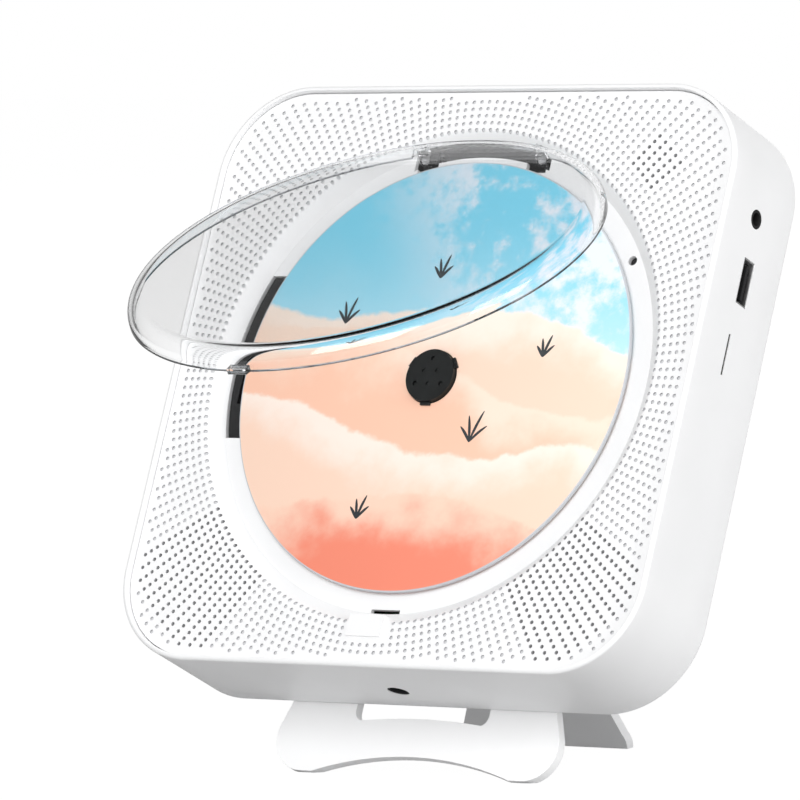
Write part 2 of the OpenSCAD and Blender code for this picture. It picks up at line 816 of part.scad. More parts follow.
// Trapezoid teeth on a wheel: n teeth of module m, thinned so that they run free
module wheel_outline(n, m, turn) {
    r = n * m / 2;
    rotate(turn) union() {
        circle(r - 1.2 * m, $fn = 48);
        for (i = [0 : n - 1]) rotate(i * 360 / n) polygon([[0, -0.95 * m], [r - 1.25 * m, -0.95 * m],
            [r, -0.62 * m], [r + 0.55 * m, -0.38 * m], [r + 0.8 * m, -0.2 * m],
            [r + 0.8 * m, 0.2 * m], [r + 0.55 * m, 0.38 * m], [r, 0.62 * m],
            [r - 1.25 * m, 0.95 * m], [0, 0.95 * m]]);
    }
}

module pickup_sled() {
    z_low = rack_z + rack_module * 1.2;
    pitch = PI * rack_module;
    teeth = ceil(2 * rack_half / pitch);
    color([0.25, 0.26, 0.28]) leaned() difference() {
        union() {
            block(lens_x - sled_half, lens_x + sled_half, sled_face, sled_back, -14.2, 19);
            block(lens_x - neck_half, lens_x + neck_half, deck_face + 1, sled_face + tiny, -6, 8);
            block(lens_x - rack_half, lens_x + rack_half, rack_y, rack_y + rack_t, z_low, -14);
            for (i = [-3 : teeth]) rack_tooth(gear_x + i * pitch, z_low);
        }
        for (z = [rod_low, rod_high]) rod_across(lens_x - sled_half - 1, lens_x + sled_half + 1,
            rod_y, z, rod_r + run_gap);
        rod_deep(lens_x, 0, deck_face, deck_face + 3.4, lens_body_r + 0.4);
    }
}

// One rack tooth, shifted with the sled's bar
module rack_tooth(x, z) {
    m = rack_module;
    if (x > lens_x - rack_half + m && x < lens_x + rack_half - m)
        plate(rack_y, rack_y + rack_t) polygon([[x - 0.98 * m, z + tiny], [x - 0.62 * m, rack_z],
            [x - 0.36 * m, rack_z - 0.8 * m], [x + 0.36 * m, rack_z - 0.8 * m],
            [x + 0.62 * m, rack_z], [x + 0.98 * m, z + tiny]]);
}

module pickup_lens() {
    color("lightcyan") leaned() {
        rod_deep(lens_x, 0, deck_face + 0.1, deck_face + 2.4, lens_body_r);
        rod_deep(lens_x, 0, deck_face - 0.4, deck_face + 0.2, 2);
    }
}

module sled_motor() {
    color("silver") leaned() difference() {
        rod_deep(sled_motor_x, sled_motor_z, flange_back, sled_motor_back, sled_motor_can_r);
        rod_deep(sled_motor_x, sled_motor_z, flange_back + 1, sled_motor_back + 1, 0.8 + run_gap);
    }
}

module sled_pinion() {
    color("ivory") leaned() {
        plate(wheel_y, wheel_y + wheel_t + 0.4) translate([sled_motor_x, sled_motor_z])
            wheel_outline(motor_teeth, wheel_module, motor_side + 180 + 180 / motor_teeth);
        rod_deep(sled_motor_x, sled_motor_z, flange_back + 1.3, wheel_y + wheel_t + 0.4, 0.8);
    }
}

module drive_gear() {
    color("ivory") leaned() difference() {
        union() {
            plate(rack_y, rack_y + rack_t) translate([gear_x, gear_z])
                wheel_outline(pinion_teeth, rack_module, 90 + 180 / pinion_teeth);
            rod_deep(gear_x, gear_z, flange_back + 0.3, wheel_y + wheel_t, 2.2);
            plate(wheel_y, wheel_y + wheel_t) translate([gear_x, gear_z])
                wheel_outline(wheel_teeth, wheel_module, 0);
        }
        rod_deep(gear_x, gear_z, flange_back - 1, wheel_y + wheel_t + 1, gear_post_r + run_gap);
    }
}

function board_places() = [[-36, main_high - 5], [36, main_high - 5],
    [-36, main_low + 5.5], [36, main_low + 5.5]];
function port_board_places() = [[port_left + 4, port_low + 3.5], [port_left + 4, port_high - 3.5]];

module main_board() {
    color("darkgreen") leaned() difference() {
        union() {
            block(-main_half, main_half, main_y, main_y + board_t, main_low, main_high);
            block(-20, -6, main_y - 2, main_y + tiny, main_low + 13.5, main_low + 25.5);
            block(8, 18, main_y - 1.6, main_y + tiny, main_low + 15.5, main_low + 23.5);
            for (x = [-30, 27]) rod_deep(x, main_low + 17.5, main_y - 6, main_y + tiny, 3.2);
        }
        for (p = board_places()) rod_deep(p[0], p[1], main_y - 1, main_y + 3, screw_r);
    }
}

module board_screws() {
    color("silver") leaned() {
        for (p = board_places()) front_screw(p, main_y, main_y + board_t + 3.5);
        for (p = port_board_places()) front_screw(p, port_y, port_y + board_t + 3.5);
    }
}

// Screw driven from the front into a boss behind a board
module front_screw(p, y, y_tip) {
    rod_deep(p[0], p[1], y, y_tip, 1);
    rod_deep(p[0], p[1], y - screw_head_t, y, screw_head_r - 0.4);
}

module port_board() {
    color("darkgreen") leaned() difference() {
        block(port_left, port_right, port_y, port_y + board_t, port_low, port_high);
        for (p = port_board_places()) rod_deep(p[0], p[1], port_y - 1, port_y + 3, screw_r);
    }
}

module aux_jack() {
    x1 = half_w - wall - port_gap;
    color([0.1, 0.1, 0.1]) leaned() difference() {
        union() {
            block(x1 - jack_len, x1, aux_y - 3.2, port_y, aux_z - 3.4, aux_z + 3.4);
            rod_across(x1 - 1, half_w, aux_y, aux_z, aux_d / 2 - port_gap);
        }
        rod_across(x1 - jack_len - 1, half_w + 1, aux_y, aux_z, 1.8);
    }
}

module usb_socket() {
    x1 = half_w - wall - port_gap;
    color("silver") leaned() {
        difference() {
            block(x1 - usb_len, x1, usb_y - usb_t / 2 - 0.4, port_y, usb_z - usb_w / 2 - 0.4,
                usb_z + usb_w / 2 + 0.4);
            block(x1 - usb_len + 1, x1 + 1, usb_y - usb_t / 2 + 0.1, usb_y + usb_t / 2 - 0.1,
                usb_z - usb_w / 2 + 0.1, usb_z + usb_w / 2 - 0.1);
        }
        block(x1 - usb_len + 0.5, x1 - 1.5, usb_y - 1.9, usb_y - 0.1, usb_z - 5.2, usb_z + 5.2);
    }
}

module card_socket() {
    x1 = half_w - wall - port_gap;
    color("silver") leaned() difference() {
        block(x1 - card_len, x1, 11.2, port_y, card_z - card_w / 2 - 1, card_z + card_w / 2 + 1);
        block(x1 - card_len + 1.5, x1 + 1, 12.6 - card_t / 2 + 0.1, 12.6 + card_t / 2 - 0.1,
            card_z - card_w / 2 + 0.1, card_z + card_w / 2 - 0.1);
    }
}

module dc_jack() {
    z0 = -half_h + wall + port_gap;
    color([0.1, 0.1, 0.1]) leaned() difference() {
        block(dc_x - 4.5, dc_x + 4.5, dc_y - 4, main_y, z0, z0 + dc_len);
        translate([dc_x, dc_y, z0 - 1]) cylinder(r = 2.8, h = dc_len - 1);
    }
    color("silver") leaned() translate([dc_x, dc_y, z0 + 1]) cylinder(r = 0.9, h = dc_len - 2);
}

module button_board() {
    z0 = button_z0 - 7;
    z1 = button_z0 + 4 * button_pitch + 7;
    color("darkgreen") leaned() {
        block(button_board_x, button_board_x + button_board_t, button_y - 5.5, cover_y - 0.2, z0, z1);
    }
}

module tact_switches() {
    color("silver") leaned() for (i = [0 : 4]) {
        z = button_z0 + i * button_pitch;
        block(switch_face + 0.6, button_board_x, button_y - 3, button_y + 3, z - 3, z + 3);
        rod_across(switch_face, switch_face + 0.7, button_y, z, 1.6);
    }
}

// Side button: cap in the wall, flange inside it and stem towards its switch
module side_button(i) {
    z = button_z0 + i * button_pitch;
    color("white") leaned() {
        translate([-half_w - button_rise, 0, 0])
            button_shape(i, button_rise + wall + 0.4, 0);
        block(-half_w + wall + 0.2, -half_w + wall + 1, button_y - button_w / 2 - 1,
            button_y + button_w / 2 + 1, z - button_l / 2 - 1, z + button_l / 2 + 1);
        rod_across(-half_w + wall + 0.9, switch_face - button_travel - 0.1, button_y, z, 1.4);
    }
}

// Turned part behind a speaker's holes
module at_speaker(side) {
    translate([side * speaker_x, 0, -speaker_z]) turned() children();
}

module speaker_frame(side) {
    color([0.2, 0.2, 0.21]) leaned() at_speaker(side) {
        rect(speaker_r - 3.5, speaker_r, speaker_y, speaker_y + 1.4);
        polygon([[speaker_r - 3.5, speaker_y + 1.4 - tiny], [speaker_r - 1, speaker_y + 1.4 - tiny],
            [8.8, 9], [7.4, 9]]);
        rect(2.6, 8.8, 8.2, 9);
    }
}

module speaker_cone(side) {
    color([0.28, 0.28, 0.3]) leaned() at_speaker(side) {
        polygon([[speaker_r - 3.7, speaker_y + 0.6], [speaker_r - 3.7, speaker_y + 1.1],
            [3.4, speaker_y + 4.4], [0, speaker_y + 4], [0, speaker_y + 3.5],
            [3.2, speaker_y + 3.8]]);
    }
}

module speaker_magnet(side) {
    color("silver") leaned() at_speaker(side) {
        rect(0, 8, 9, 14);
        rect(0, 2.3, 7.4, 9 + tiny);
    }
}

module rear_cover() {
    color("whitesmoke") leaned() difference() {
        union() {
            plate(cover_y, cover_y + cover_t)
                rounded(in_w - 2 * seam_gap, in_h - 2 * seam_gap, in_r - seam_gap);
            for (p = board_places())
                rod_deep(p[0], p[1], main_y + board_t, cover_y + tiny, 2.8);
            for (p = port_board_places())
                rod_deep(p[0], p[1], port_y + board_t, cover_y + tiny, 2.5);
            for (s = [-1, 1], z = stud_zs) {
                rod_deep(s * stud_x, z, cover_y + cover_t - tiny, stand_back + 0.3 + stud_head_t,
                    stud_r);
                rod_deep(s * stud_x, z, stand_back + 0.3, stand_back + 0.3 + stud_head_t,
                    stud_head_r);
            }
        }
        for (s = [-1, 1]) plate(cover_y - 1, body_d + 1) translate([s * keyhole_x, keyhole_z]) {
            circle(keyhole_r);
            rect(-keyslot_r, keyslot_r, 0, 8);
            translate([0, 8]) circle(keyslot_r);
        }
        for (i = [0 : 5]) plate(cover_y - 1, body_d + 1)
            translate([0, 24 + i * 5]) square([34, 1.8], center = true);
        for (p = post_places()) rod_deep(p[0], p[1], cover_y - 1, body_d + 1, screw_r);
        for (p = post_places()) rod_deep(p[0], p[1], cover_y + cover_t - screw_head_t, body_d + 1,
            screw_head_r + 0.2);
        for (p = board_places()) rod_deep(p[0], p[1], main_y, cover_y - 0.6, 1);
        for (p = port_board_places()) rod_deep(p[0], p[1], port_y, cover_y - 0.6, 1);
    }
}

module rear_screws() {
    color("silver") leaned() for (p = post_places())
        screw(p[0], p[1], cover_y - 6, cover_y + cover_t - screw_head_t, screw_r - 0.15);
}

// Outline of the stand's front plate, seen from the front
module stand_outline() {
    difference() {
        union() {
            polygon([[-plate_half, shoulder_z], [-plate_half - 1.2, foot_z + foot_r + 5],
                [plate_half + 1.2, foot_z + foot_r + 5], [plate_half, shoulder_z]]);
            rect(-plate_half, plate_half, shoulder_z - tiny, plate_top - 6);
            rect(-plate_half + 6, plate_half - 6, plate_top - 12, plate_top);
            for (s = [-1, 1]) translate([s * (plate_half - 6), plate_top - 6]) circle(6);
            for (s = [-1, 1]) translate([s * (foot_half - foot_r), foot_z + foot_r]) circle(foot_r);
            polygon([[-foot_half + 0.4, foot_z + foot_r + 2.7], [-plate_half, shoulder_z],
                [plate_half, shoulder_z], [foot_half - 0.4, foot_z + foot_r + 2.7]]);
            rect(-foot_half + foot_r, foot_half - foot_r, foot_z, foot_z + foot_r + 6);
        }
        arch_r = (arch_half * arch_half + arch_rise * arch_rise) / (2 * arch_rise);
        translate([0, foot_z + arch_rise - arch_r]) circle(arch_r, $fn = 180);
        difference() {
            rect(-window_half, window_half, window_low, window_high);
            window_r = (window_half * window_half + window_arch * window_arch) / (2 * window_arch);
            translate([0, window_low + window_arch - window_r]) circle(window_r, $fn = 180);
            for (s = [-1, 1]) difference() {
                rect(s * window_half - 3, s * window_half + 3, window_low - 1, window_low + 3);
                translate([s * (window_half - 3), window_low + 3]) circle(3);
            }
        }
        for (s = [-1, 1], z = stud_zs) translate([s * stud_x, z]) {
            translate([0, -stud_gap]) circle(stud_r + 0.2);
            rect(-stud_r - 0.2, stud_r + 0.2, -stud_gap, stand_travel);
            translate([0, stand_travel]) circle(stud_head_r + 0.4);
        }
    }
}

// Cuts a stand part off level with the surface that it stands on
module floor_cut() {
    difference() {
        children();
        translate([-big / 2, -big / 2, -big]) cube([big, big, big]);
    }
}

module stand_plate() {
    color("white") floor_cut() leaned() difference() {
        union() {
            plate(stand_y, stand_back) stand_outline();
            for (s = [-1, 1]) {
                rod_across(s * 17 - 3.5, s * 17 + 3.5, pivot_y, pivot_z, barrel_r);
                block(s * 17 - 3.5, s * 17 + 3.5, stand_back - tiny, pivot_y,
                    pivot_z - barrel_r, pivot_z + barrel_r);
            }
        }
        rod_across(-22, 22, pivot_y, pivot_z, leg_pin_r + run_gap);
    }
}

// The leg's own frame: its hinge at the origin, its length along -Z when folded
module leg_frame() {
    translate([0, pivot_y, pivot_z]) rotate([leg_open, 0, 0]) children();
}

module rear_leg() {
    y0 = stand_back + leg_lift - pivot_y;
    y1 = y0 + stand_t;
    low = -leg_len - 4;
    color("lightgray") floor_cut() leaned() leg_frame() difference() {
        union() {
            translate([0, y1, 0]) rotate([90, 0, 0]) linear_extrude(stand_t) leg_outline(low);
            rod_across(-13.2, 13.2, 0, 0, barrel_r);
            block(-13.2, 13.2, y0, y1, -barrel_r - 2, 0);
        }
        rod_across(-14, 14, 0, 0, leg_pin_r + run_gap);
        for (s = [-1, 1]) block(s * 17 - 3.8, s * 17 + 3.8, -4, 6, -barrel_r - 0.4, barrel_r + 1);
    }
}

// Outline of the rear leg, from its hinge down to its two lobes
module leg_outline(low) {
    difference() {
        union() {
            rect(-leg_half, leg_half, low + 16, -barrel_r - 1.2);
            polygon([[-leg_half, low + 18], [leg_half, low + 18],
                [leg_lobe_half - 0.3, low + leg_lobe_r + 1.5], [leg_half - 4, low + 4],
                [-leg_half + 4, low + 4], [-leg_lobe_half + 0.3, low + leg_lobe_r + 1.5]]);
            for (s = [-1, 1]) translate([s * (leg_lobe_half - leg_lobe_r), low + leg_lobe_r])
                circle(leg_lobe_r);
        }
        rect(-12, 12, low + 17, -24);
    }
}

module leg_pin() {
    color("silver") leaned() rod_across(-20.3, 20.3, pivot_y, pivot_z, leg_pin_r);
}

housing();
front_panel();
well_floor();
grille_cloths();
display_window();
display_module();
display_board();
ir_receiver();
lid();
lid_hinge_bracket();
lid_hinge_pins();
lid_switch();
lid_switch_plunger();
disc();
turntable();
spindle_shaft();
hub_claw(0);  // hub_claw_1
hub_claw(1);  // hub_claw_2
hub_claw(2);  // hub_claw_3
spindle_motor();
mech_deck();
deck_dampers();
deck_screws();
guide_rods();
pickup_sled();
pickup_lens();
sled_motor();
sled_pinion();
drive_gear();
main_board();
board_screws();
port_board();
aux_jack();
usb_socket();
card_socket();
dc_jack();
button_board();
tact_switches();
side_button(0);  // button_mode
side_button(1);  // button_previous
side_button(2);  // button_play
side_button(3);  // button_next
side_button(4);  // button_volume
speaker_frame(-1);  // speaker_frame_left
speaker_frame(1);  // speaker_frame_right
speaker_cone(-1);  // speaker_cone_left
speaker_cone(1);  // speaker_cone_right
speaker_magnet(-1);  // speaker_magnet_left
speaker_magnet(1);  // speaker_magnet_right
rear_cover();
rear_screws();
stand_plate();
rear_leg();
leg_pin();
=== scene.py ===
# %% [markdown]
# # A wall mounted disc player on its easel stand
# This lesson dresses a finished CAD model. The CAD file fixes every size and every joint;
# here each visible surface gets its real shape, colour and finish. We load the frame first.
# The dressed model may not grow past it.

# %% Load the frame
import json
import math
import bpy
import numpy as np
from mathutils import Matrix, Vector


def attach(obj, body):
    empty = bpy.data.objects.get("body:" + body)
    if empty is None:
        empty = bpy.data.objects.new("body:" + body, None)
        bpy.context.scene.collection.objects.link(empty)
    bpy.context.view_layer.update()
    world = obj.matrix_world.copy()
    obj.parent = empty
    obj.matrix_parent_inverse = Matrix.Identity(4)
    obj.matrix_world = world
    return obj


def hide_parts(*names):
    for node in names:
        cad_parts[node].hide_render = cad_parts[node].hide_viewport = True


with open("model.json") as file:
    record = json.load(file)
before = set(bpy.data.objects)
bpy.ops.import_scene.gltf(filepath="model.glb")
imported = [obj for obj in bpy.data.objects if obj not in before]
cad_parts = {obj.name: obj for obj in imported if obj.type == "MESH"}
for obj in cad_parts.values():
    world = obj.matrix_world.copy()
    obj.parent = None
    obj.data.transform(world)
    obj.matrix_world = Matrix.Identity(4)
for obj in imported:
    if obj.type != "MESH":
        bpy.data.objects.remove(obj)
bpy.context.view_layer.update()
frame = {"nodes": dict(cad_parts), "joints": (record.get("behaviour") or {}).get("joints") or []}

# %% [markdown]
# ## The player's own axes
# The player leans back on its stand, so its front is easiest to describe in a frame of its
# own: x to the right, y into the body and z up along the body, in millimetres, from the
# disc's centre. The joint that spins the disc tells where that frame sits: its place is the
# origin and its axis is y. One small function then puts any array of points in place.

# %% Points in the player's frame
spin = next(joint for joint in frame["joints"] if joint["name"] == "disc_spin")
CENTRE = np.array(spin["pos_m"], float)
RIGHT = np.array([1.0, 0.0, 0.0])
DEEP = np.array(spin["axis"], float)
DEEP /= np.linalg.norm(DEEP)
UP = np.cross(RIGHT, DEEP)


def place(points):
    """world = centre + (x * right + y * deep + z * up) / 1000, for an array of points in mm."""
    points = np.asarray(points, float)
    return CENTRE + (points[..., :1] * RIGHT + points[..., 1:2] * DEEP + points[..., 2:] * UP) / 1000


print("disc centre (m):", CENTRE.round(4), " lean:", round(math.degrees(math.asin(-DEEP[2])), 2))

# %% [markdown]
# ## The camera
# A photograph fixes four things: the direction it looks from, its distance, its roll and its
# lens. A long lens from two metres away keeps the circles almost true. We could aim a camera
# by hand, but the numbers below come from the disc's and the body's outlines, so we build the
# camera's three axes from them and write these straight into its matrix.

# %% Camera at the photograph's angle
AZIMUTH, ELEVATION, ROLL = map(math.radians, (35.803, -16.755, 12.759))
DISTANCE, FOCAL_PX, IMAGE_PX = 2039.03, 7768.17, 800
TARGET = np.array([-7.066, 0.0, -7.358])


def turn(vector):
    """The same sum as place(), for a direction: x * right + y * deep + z * up."""
    return vector[0] * RIGHT + vector[1] * DEEP + vector[2] * UP


back = np.array([math.sin(AZIMUTH) * math.cos(ELEVATION),
                 -math.cos(AZIMUTH) * math.cos(ELEVATION), math.sin(ELEVATION)])
level = np.cross(-back, [0, 0, 1])
level /= np.linalg.norm(level)
upright = np.cross(level, -back)
cam_x = level * math.cos(ROLL) + upright * math.sin(ROLL)
cam_y = -level * math.sin(ROLL) + upright * math.cos(ROLL)
camera = bpy.data.objects.new("camera", bpy.data.cameras.new("camera"))
bpy.context.scene.collection.objects.link(camera)
axes = np.stack([turn(cam_x), turn(cam_y), turn(back)], axis=1)
matrix = np.eye(4)
matrix[:3, :3] = axes
matrix[:3, 3] = place((TARGET + DISTANCE * back)[None])[0]
camera.matrix_world = Matrix(matrix.tolist())
camera.data.sensor_width = 36
camera.data.lens = 36 * FOCAL_PX / IMAGE_PX
camera.data.clip_start, camera.data.clip_end = 0.05, 60
bpy.context.scene.camera = camera
print("camera at", matrix[:3, 3].round(3), "lens", round(camera.data.lens, 1), "mm")

# %% [markdown]
# ## A helper for surfaces
# Every new piece is a sheet of numpy points with faces between them. Poles and edges that
# fall together are welded, so that a closed form stays closed, and a face that the weld
# collapses becomes a triangle or goes. The mesh is then filled in one step, without a loop.

# %% Grids, welding and meshes
CREASE, WELD_MM = 35, 2e-4


def grid(rows, columns, close_rows=False, close_columns=False):
    """Four corners of each cell of a rows x columns grid of points, as indices into it."""
    r = np.arange(rows if close_rows else rows - 1)
    c = np.arange(columns if close_columns else columns - 1)
    r, c = np.meshgrid(r, c, indexing="ij")
    r2, c2 = (r + 1) % rows, (c + 1) % columns
    return np.stack([r * columns + c, r * columns + c2, r2 * columns + c2, r2 * columns + c],
                    axis=-1).reshape(-1, 4)


def joined(*parts):
    """Several (points, quads) pairs as one pair: each part's indices move up past the last."""
    points, faces, start = [], [], 0
    for part_points, part_faces in parts:
        part_points = np.asarray(part_points, float).reshape(-1, 3)
        points.append(part_points)
        faces.append(np.asarray(part_faces).reshape(-1, 4) + start)
        start += len(part_points)
    return np.concatenate(points), np.concatenate(faces)


def outward(points, faces):
    """Turns a closed form's faces over where its volume comes out negative."""
    a, b, c, d = np.moveaxis(np.asarray(points, float).reshape(-1, 3)[faces], 1, 0)
    six = (a * np.cross(b, c)).sum() + (a * np.cross(c, d)).sum()
    return points, faces if six > 0 else faces[:, ::-1]


def welded(points, quads):
    """Equal points become one; a quad with a doubled corner becomes a triangle or goes, and
    so do two triangles that lie on each other."""
    _, first, index = np.unique(np.round(points / WELD_MM).astype(np.int64), axis=0,
                                return_index=True, return_inverse=True)
    quads = index.ravel()[quads]
    ordered = np.sort(quads, axis=1)
    corners = 1 + (ordered[:, 1:] != ordered[:, :-1]).sum(axis=1)
    whole = corners == 4
    thin = quads[corners == 3]
    twin = thin == np.roll(thin, -1, axis=1)
    start = twin.argmax(axis=1)
    turned = (start[:, None] + np.arange(1, 4)) % 4
    tris = np.take_along_axis(thin, turned, axis=1)
    _, group, times = np.unique(np.sort(tris, axis=1), axis=0, return_inverse=True, return_counts=True)
    keep_thin = twin.any(axis=1) & (times[group.ravel()] == 1)
    return points[first], quads[whole], tris[keep_thin], whole, np.flatnonzero(corners == 3)[keep_thin]


def shade_smooth(mesh, crease):
    """Smooth shading, apart from edges sharper than the crease angle in degrees."""
    mesh.polygons.foreach_set("use_smooth", np.ones(len(mesh.polygons), bool))
    mesh.set_sharp_from_angle(angle=math.radians(crease))


def piece(name, points, quads, finish, body="player", tag=None, uv=None):
    """A mesh from points in the player's frame; edges sharper than 35 degrees stay sharp.

    tag is a number for each face, kept as the face attribute "tag"; uv is a function of
    the points' array that gives their two coordinates.
    """
    points, quads, tris, whole, thin = welded(np.asarray(points, float).reshape(-1, 3),
                                              np.asarray(quads))
    loops = np.concatenate([quads.ravel(), tris.ravel()])
    starts = np.concatenate([np.arange(len(quads)) * 4, len(quads) * 4 + np.arange(len(tris)) * 3])
    mesh = bpy.data.meshes.new(name)
    mesh.vertices.add(len(points))
    mesh.vertices.foreach_set("co", place(points).ravel())
    mesh.loops.add(len(loops))
    mesh.loops.foreach_set("vertex_index", loops.astype(np.int32))
    mesh.polygons.add(len(starts))
    mesh.polygons.foreach_set("loop_start", starts.astype(np.int32))
    mesh.update(calc_edges=True)
    shade_smooth(mesh, CREASE)
    if tag is not None:
        values = np.concatenate([tag[whole], tag[thin]]).astype(np.float32)
        mesh.attributes.new("tag", "FLOAT", "FACE").data.foreach_set("value", values)
    if uv is not None:
        layer = mesh.uv_layers.new(name="uv")
        layer.data.foreach_set("uv", uv(points)[loops].astype(np.float32).ravel())
    mesh.materials.append(finish)
    made = bpy.data.objects.new(name, mesh)
    bpy.context.scene.collection.objects.link(made)
    if body:
        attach(made, body)
    print(f"{name}: {len(points)} points, {len(quads)} quads, {len(tris)} triangles")
    return made


# %% [markdown]
# ## Shader maths as plain Python
# A material's number can be written as an expression, such as 0.4 + grain * 0.1, if a small
# class holds the socket and adds a Math node for each operator. Its reflected forms let a
# plain number stand on the left. Every other node comes from one method, which takes the
# node's type, its settings and what goes into its sockets.

# %% The class for numbers, and the one for finishes
def operator(operation, swapped=False):
    """A method that adds one Math node; swapped puts the other value first."""
    def method(signal, *others):
        values = (*others, signal) if swapped else (signal, *others)
        made = signal.finish.node("ShaderNodeMath", {"operation": operation}, dict(enumerate(values)))
        return Signal(signal.finish, made.outputs[0])
    return method


class Signal:
    """A number on its way through a material; each operator adds one Math node."""

    def __init__(self, finish, socket):
        self.finish, self.socket = finish, socket

    __add__ = operator("ADD")
    __radd__ = operator("ADD", swapped=True)
    __sub__ = operator("SUBTRACT")
    __rsub__ = operator("SUBTRACT", swapped=True)
    __mul__ = operator("MULTIPLY")
    __rmul__ = operator("MULTIPLY", swapped=True)
    __truediv__ = operator("DIVIDE")
    below = operator("LESS_THAN")
    most = operator("MAXIMUM")
    size = operator("ABSOLUTE")
    sine = operator("SINE")
    root = operator("SQRT")
    part = operator("FRACT")

    def ramp(self, start, end):
        """0 before start, 1 past end, and a smooth S between them."""
        made = self.finish.node("ShaderNodeMapRange", {"interpolation_type": "SMOOTHSTEP"},
                                {0: self, 1: start, 2: end, 3: 0.0, 4: 1.0})
        return Signal(self.finish, made.outputs[0])


class Tree:
    """A node tree, emptied; its one method makes every node."""

    def __init__(self, owner):
        owner.use_nodes = True
        self.tree = owner.node_tree
        self.tree.nodes.clear()

    def node(self, kind, settings, sockets):
        """Adds a node, sets its settings, then fills its sockets by name or by number."""
        made = self.tree.nodes.new(kind)
        for key, value in settings.items():
            setattr(made, key, value)
        for key, value in sockets.items():
            socket = made.inputs[key]
            source = value.socket if isinstance(value, Signal) else value
            if isinstance(source, bpy.types.NodeSocket):
                self.tree.links.new(source, socket)
            elif isinstance(source, tuple) and len(source) == 3 and socket.type == "RGBA":
                socket.default_value = (*source, 1.0)
            else:
                socket.default_value = source
        return made

    def number(self, node, name=0):
        return Signal(self, node.outputs[name])


class Finish(Tree):
    """One material: a Principled shader whose constants sit on its own sockets."""

    def __init__(self, name, **constants):
        self.material = bpy.data.materials.new(name)
        super().__init__(self.material)
        self.shader = self.node("ShaderNodeBsdfPrincipled", {}, constants)
        self.output = self.node("ShaderNodeOutputMaterial", {}, {"Surface": self.shader.outputs[0]})

    def spot(self, uv=False):
        """The point on the piece: its UV, or its Object coordinates in metres."""
        return self.node("ShaderNodeTexCoord", {}, {}).outputs["UV" if uv else "Object"]

    def noise(self, per_metre, detail=2.0, roughness=0.5, at=None, stretch=None):
        """Soft random mottling with about this many swells in a metre, from 0 to 1."""
        at = self.spot() if at is None else at
        if stretch is not None:
            at = self.node("ShaderNodeMapping", {}, {"Vector": at, "Scale": stretch}).outputs[0]
        return self.number(self.node("ShaderNodeTexNoise", {}, {
            "Vector": at, "Scale": per_metre, "Detail": detail, "Roughness": roughness}))

    def blend(self, amount, first, second):
        """A colour between two others; amount is a number or a Signal."""
        return self.node("ShaderNodeMix", {"data_type": "RGBA"},
                         {0: amount, 6: first, 7: second}).outputs[2]

    def feed(self, **sockets):
        """Links what changes over the surface to the shader's sockets."""
        for key, value in sockets.items():
            source = value.socket if isinstance(value, Signal) else value
            self.tree.links.new(source, self.shader.inputs[key.replace("_", " ")])

    def bump(self, height, depth_mm, strength=0.5):
        """Turns a height from 0 to 1 into relief of this depth."""
        made = self.node("ShaderNodeBump", {}, {
            "Height": height, "Strength": strength, "Distance": depth_mm / 1000})
        self.tree.links.new(made.outputs[0], self.shader.inputs["Normal"])

    def show_instead(self, amount, other):
        """Shows the other node's shader where amount is 1, and this one's where it is 0."""
        made = self.node("ShaderNodeMixShader", {}, {0: amount, 1: self.shader.outputs[0],
                                                     2: other.outputs[0]})
        self.tree.links.new(made.outputs[0], self.output.inputs["Surface"])


print("shader helpers ready")

# %% [markdown]
# ## Moulded plastics and metals
# The body is injection moulded plastic with a fine satin texture from the tool. A colour
# alone would look like paint, so each plastic gets three layers: a very faint mottling of its
# colour, a roughness that varies a little, and a relief finer than a tenth of a millimetre.

# %% Plastics, rubber, metal and cloth
def moulded(name, colour, roughness, grain_mm=0.35, relief_mm=0.01, mottle=0.03, **constants):
    """Plastic: colour * (1 +- mottle), roughness +- 0.05 and a fine relief."""
    finish = Finish(name, **{"IOR": 1.46, **constants})
    clouds = finish.noise(38, 3)
    grain = finish.noise(1000 / grain_mm, 2, 0.6)
    darker = tuple(c * (1 - mottle) for c in colour)
    lighter = tuple(min(c * (1 + mottle), 1.0) for c in colour)
    finish.feed(Base_Color=finish.blend(clouds.ramp(0.3, 0.7), darker, lighter),
                Roughness=roughness - 0.04 + grain * 0.08)
    finish.bump(grain, relief_mm)
    return finish.material


def metal(name, colour, roughness, stretch, mottle=0.08):
    """Drawn metal: fine scratches along one axis vary its roughness and its relief."""
    finish = Finish(name, Metallic=1.0)
    lines = finish.noise(900, 3, 0.6, stretch=stretch)
    finish.feed(Base_Color=finish.blend(lines, tuple(c * (1 - mottle) for c in colour), colour),
                Roughness=roughness + lines * 0.18)
    finish.bump(lines, 0.01, 0.35)
    return finish.material


def woven(name, colour, threads_per_mm):
    """Cloth: two crossed waves make over and under threads; the under threads are painted darker as
    shade, and get their own relief.
    """
    finish = Finish(name)
    split = finish.node("ShaderNodeSeparateXYZ", {}, {0: finish.spot()})
    rate = 2 * math.pi * 1000 * threads_per_mm
    warp = (finish.number(split, 0) * rate).sine()
    weft = (finish.number(split, 2) * rate).sine()
    cloth = (warp * weft) * 0.5 + 0.5
    # painted shade: the low places of the weave are coloured 0.4 times as bright
    finish.feed(Base_Color=finish.blend(cloth, tuple(c * 0.4 for c in colour), colour),
                Roughness=0.95 - cloth * 0.15)
    finish.bump(cloth, 0.08, 0.6)
    return finish.material


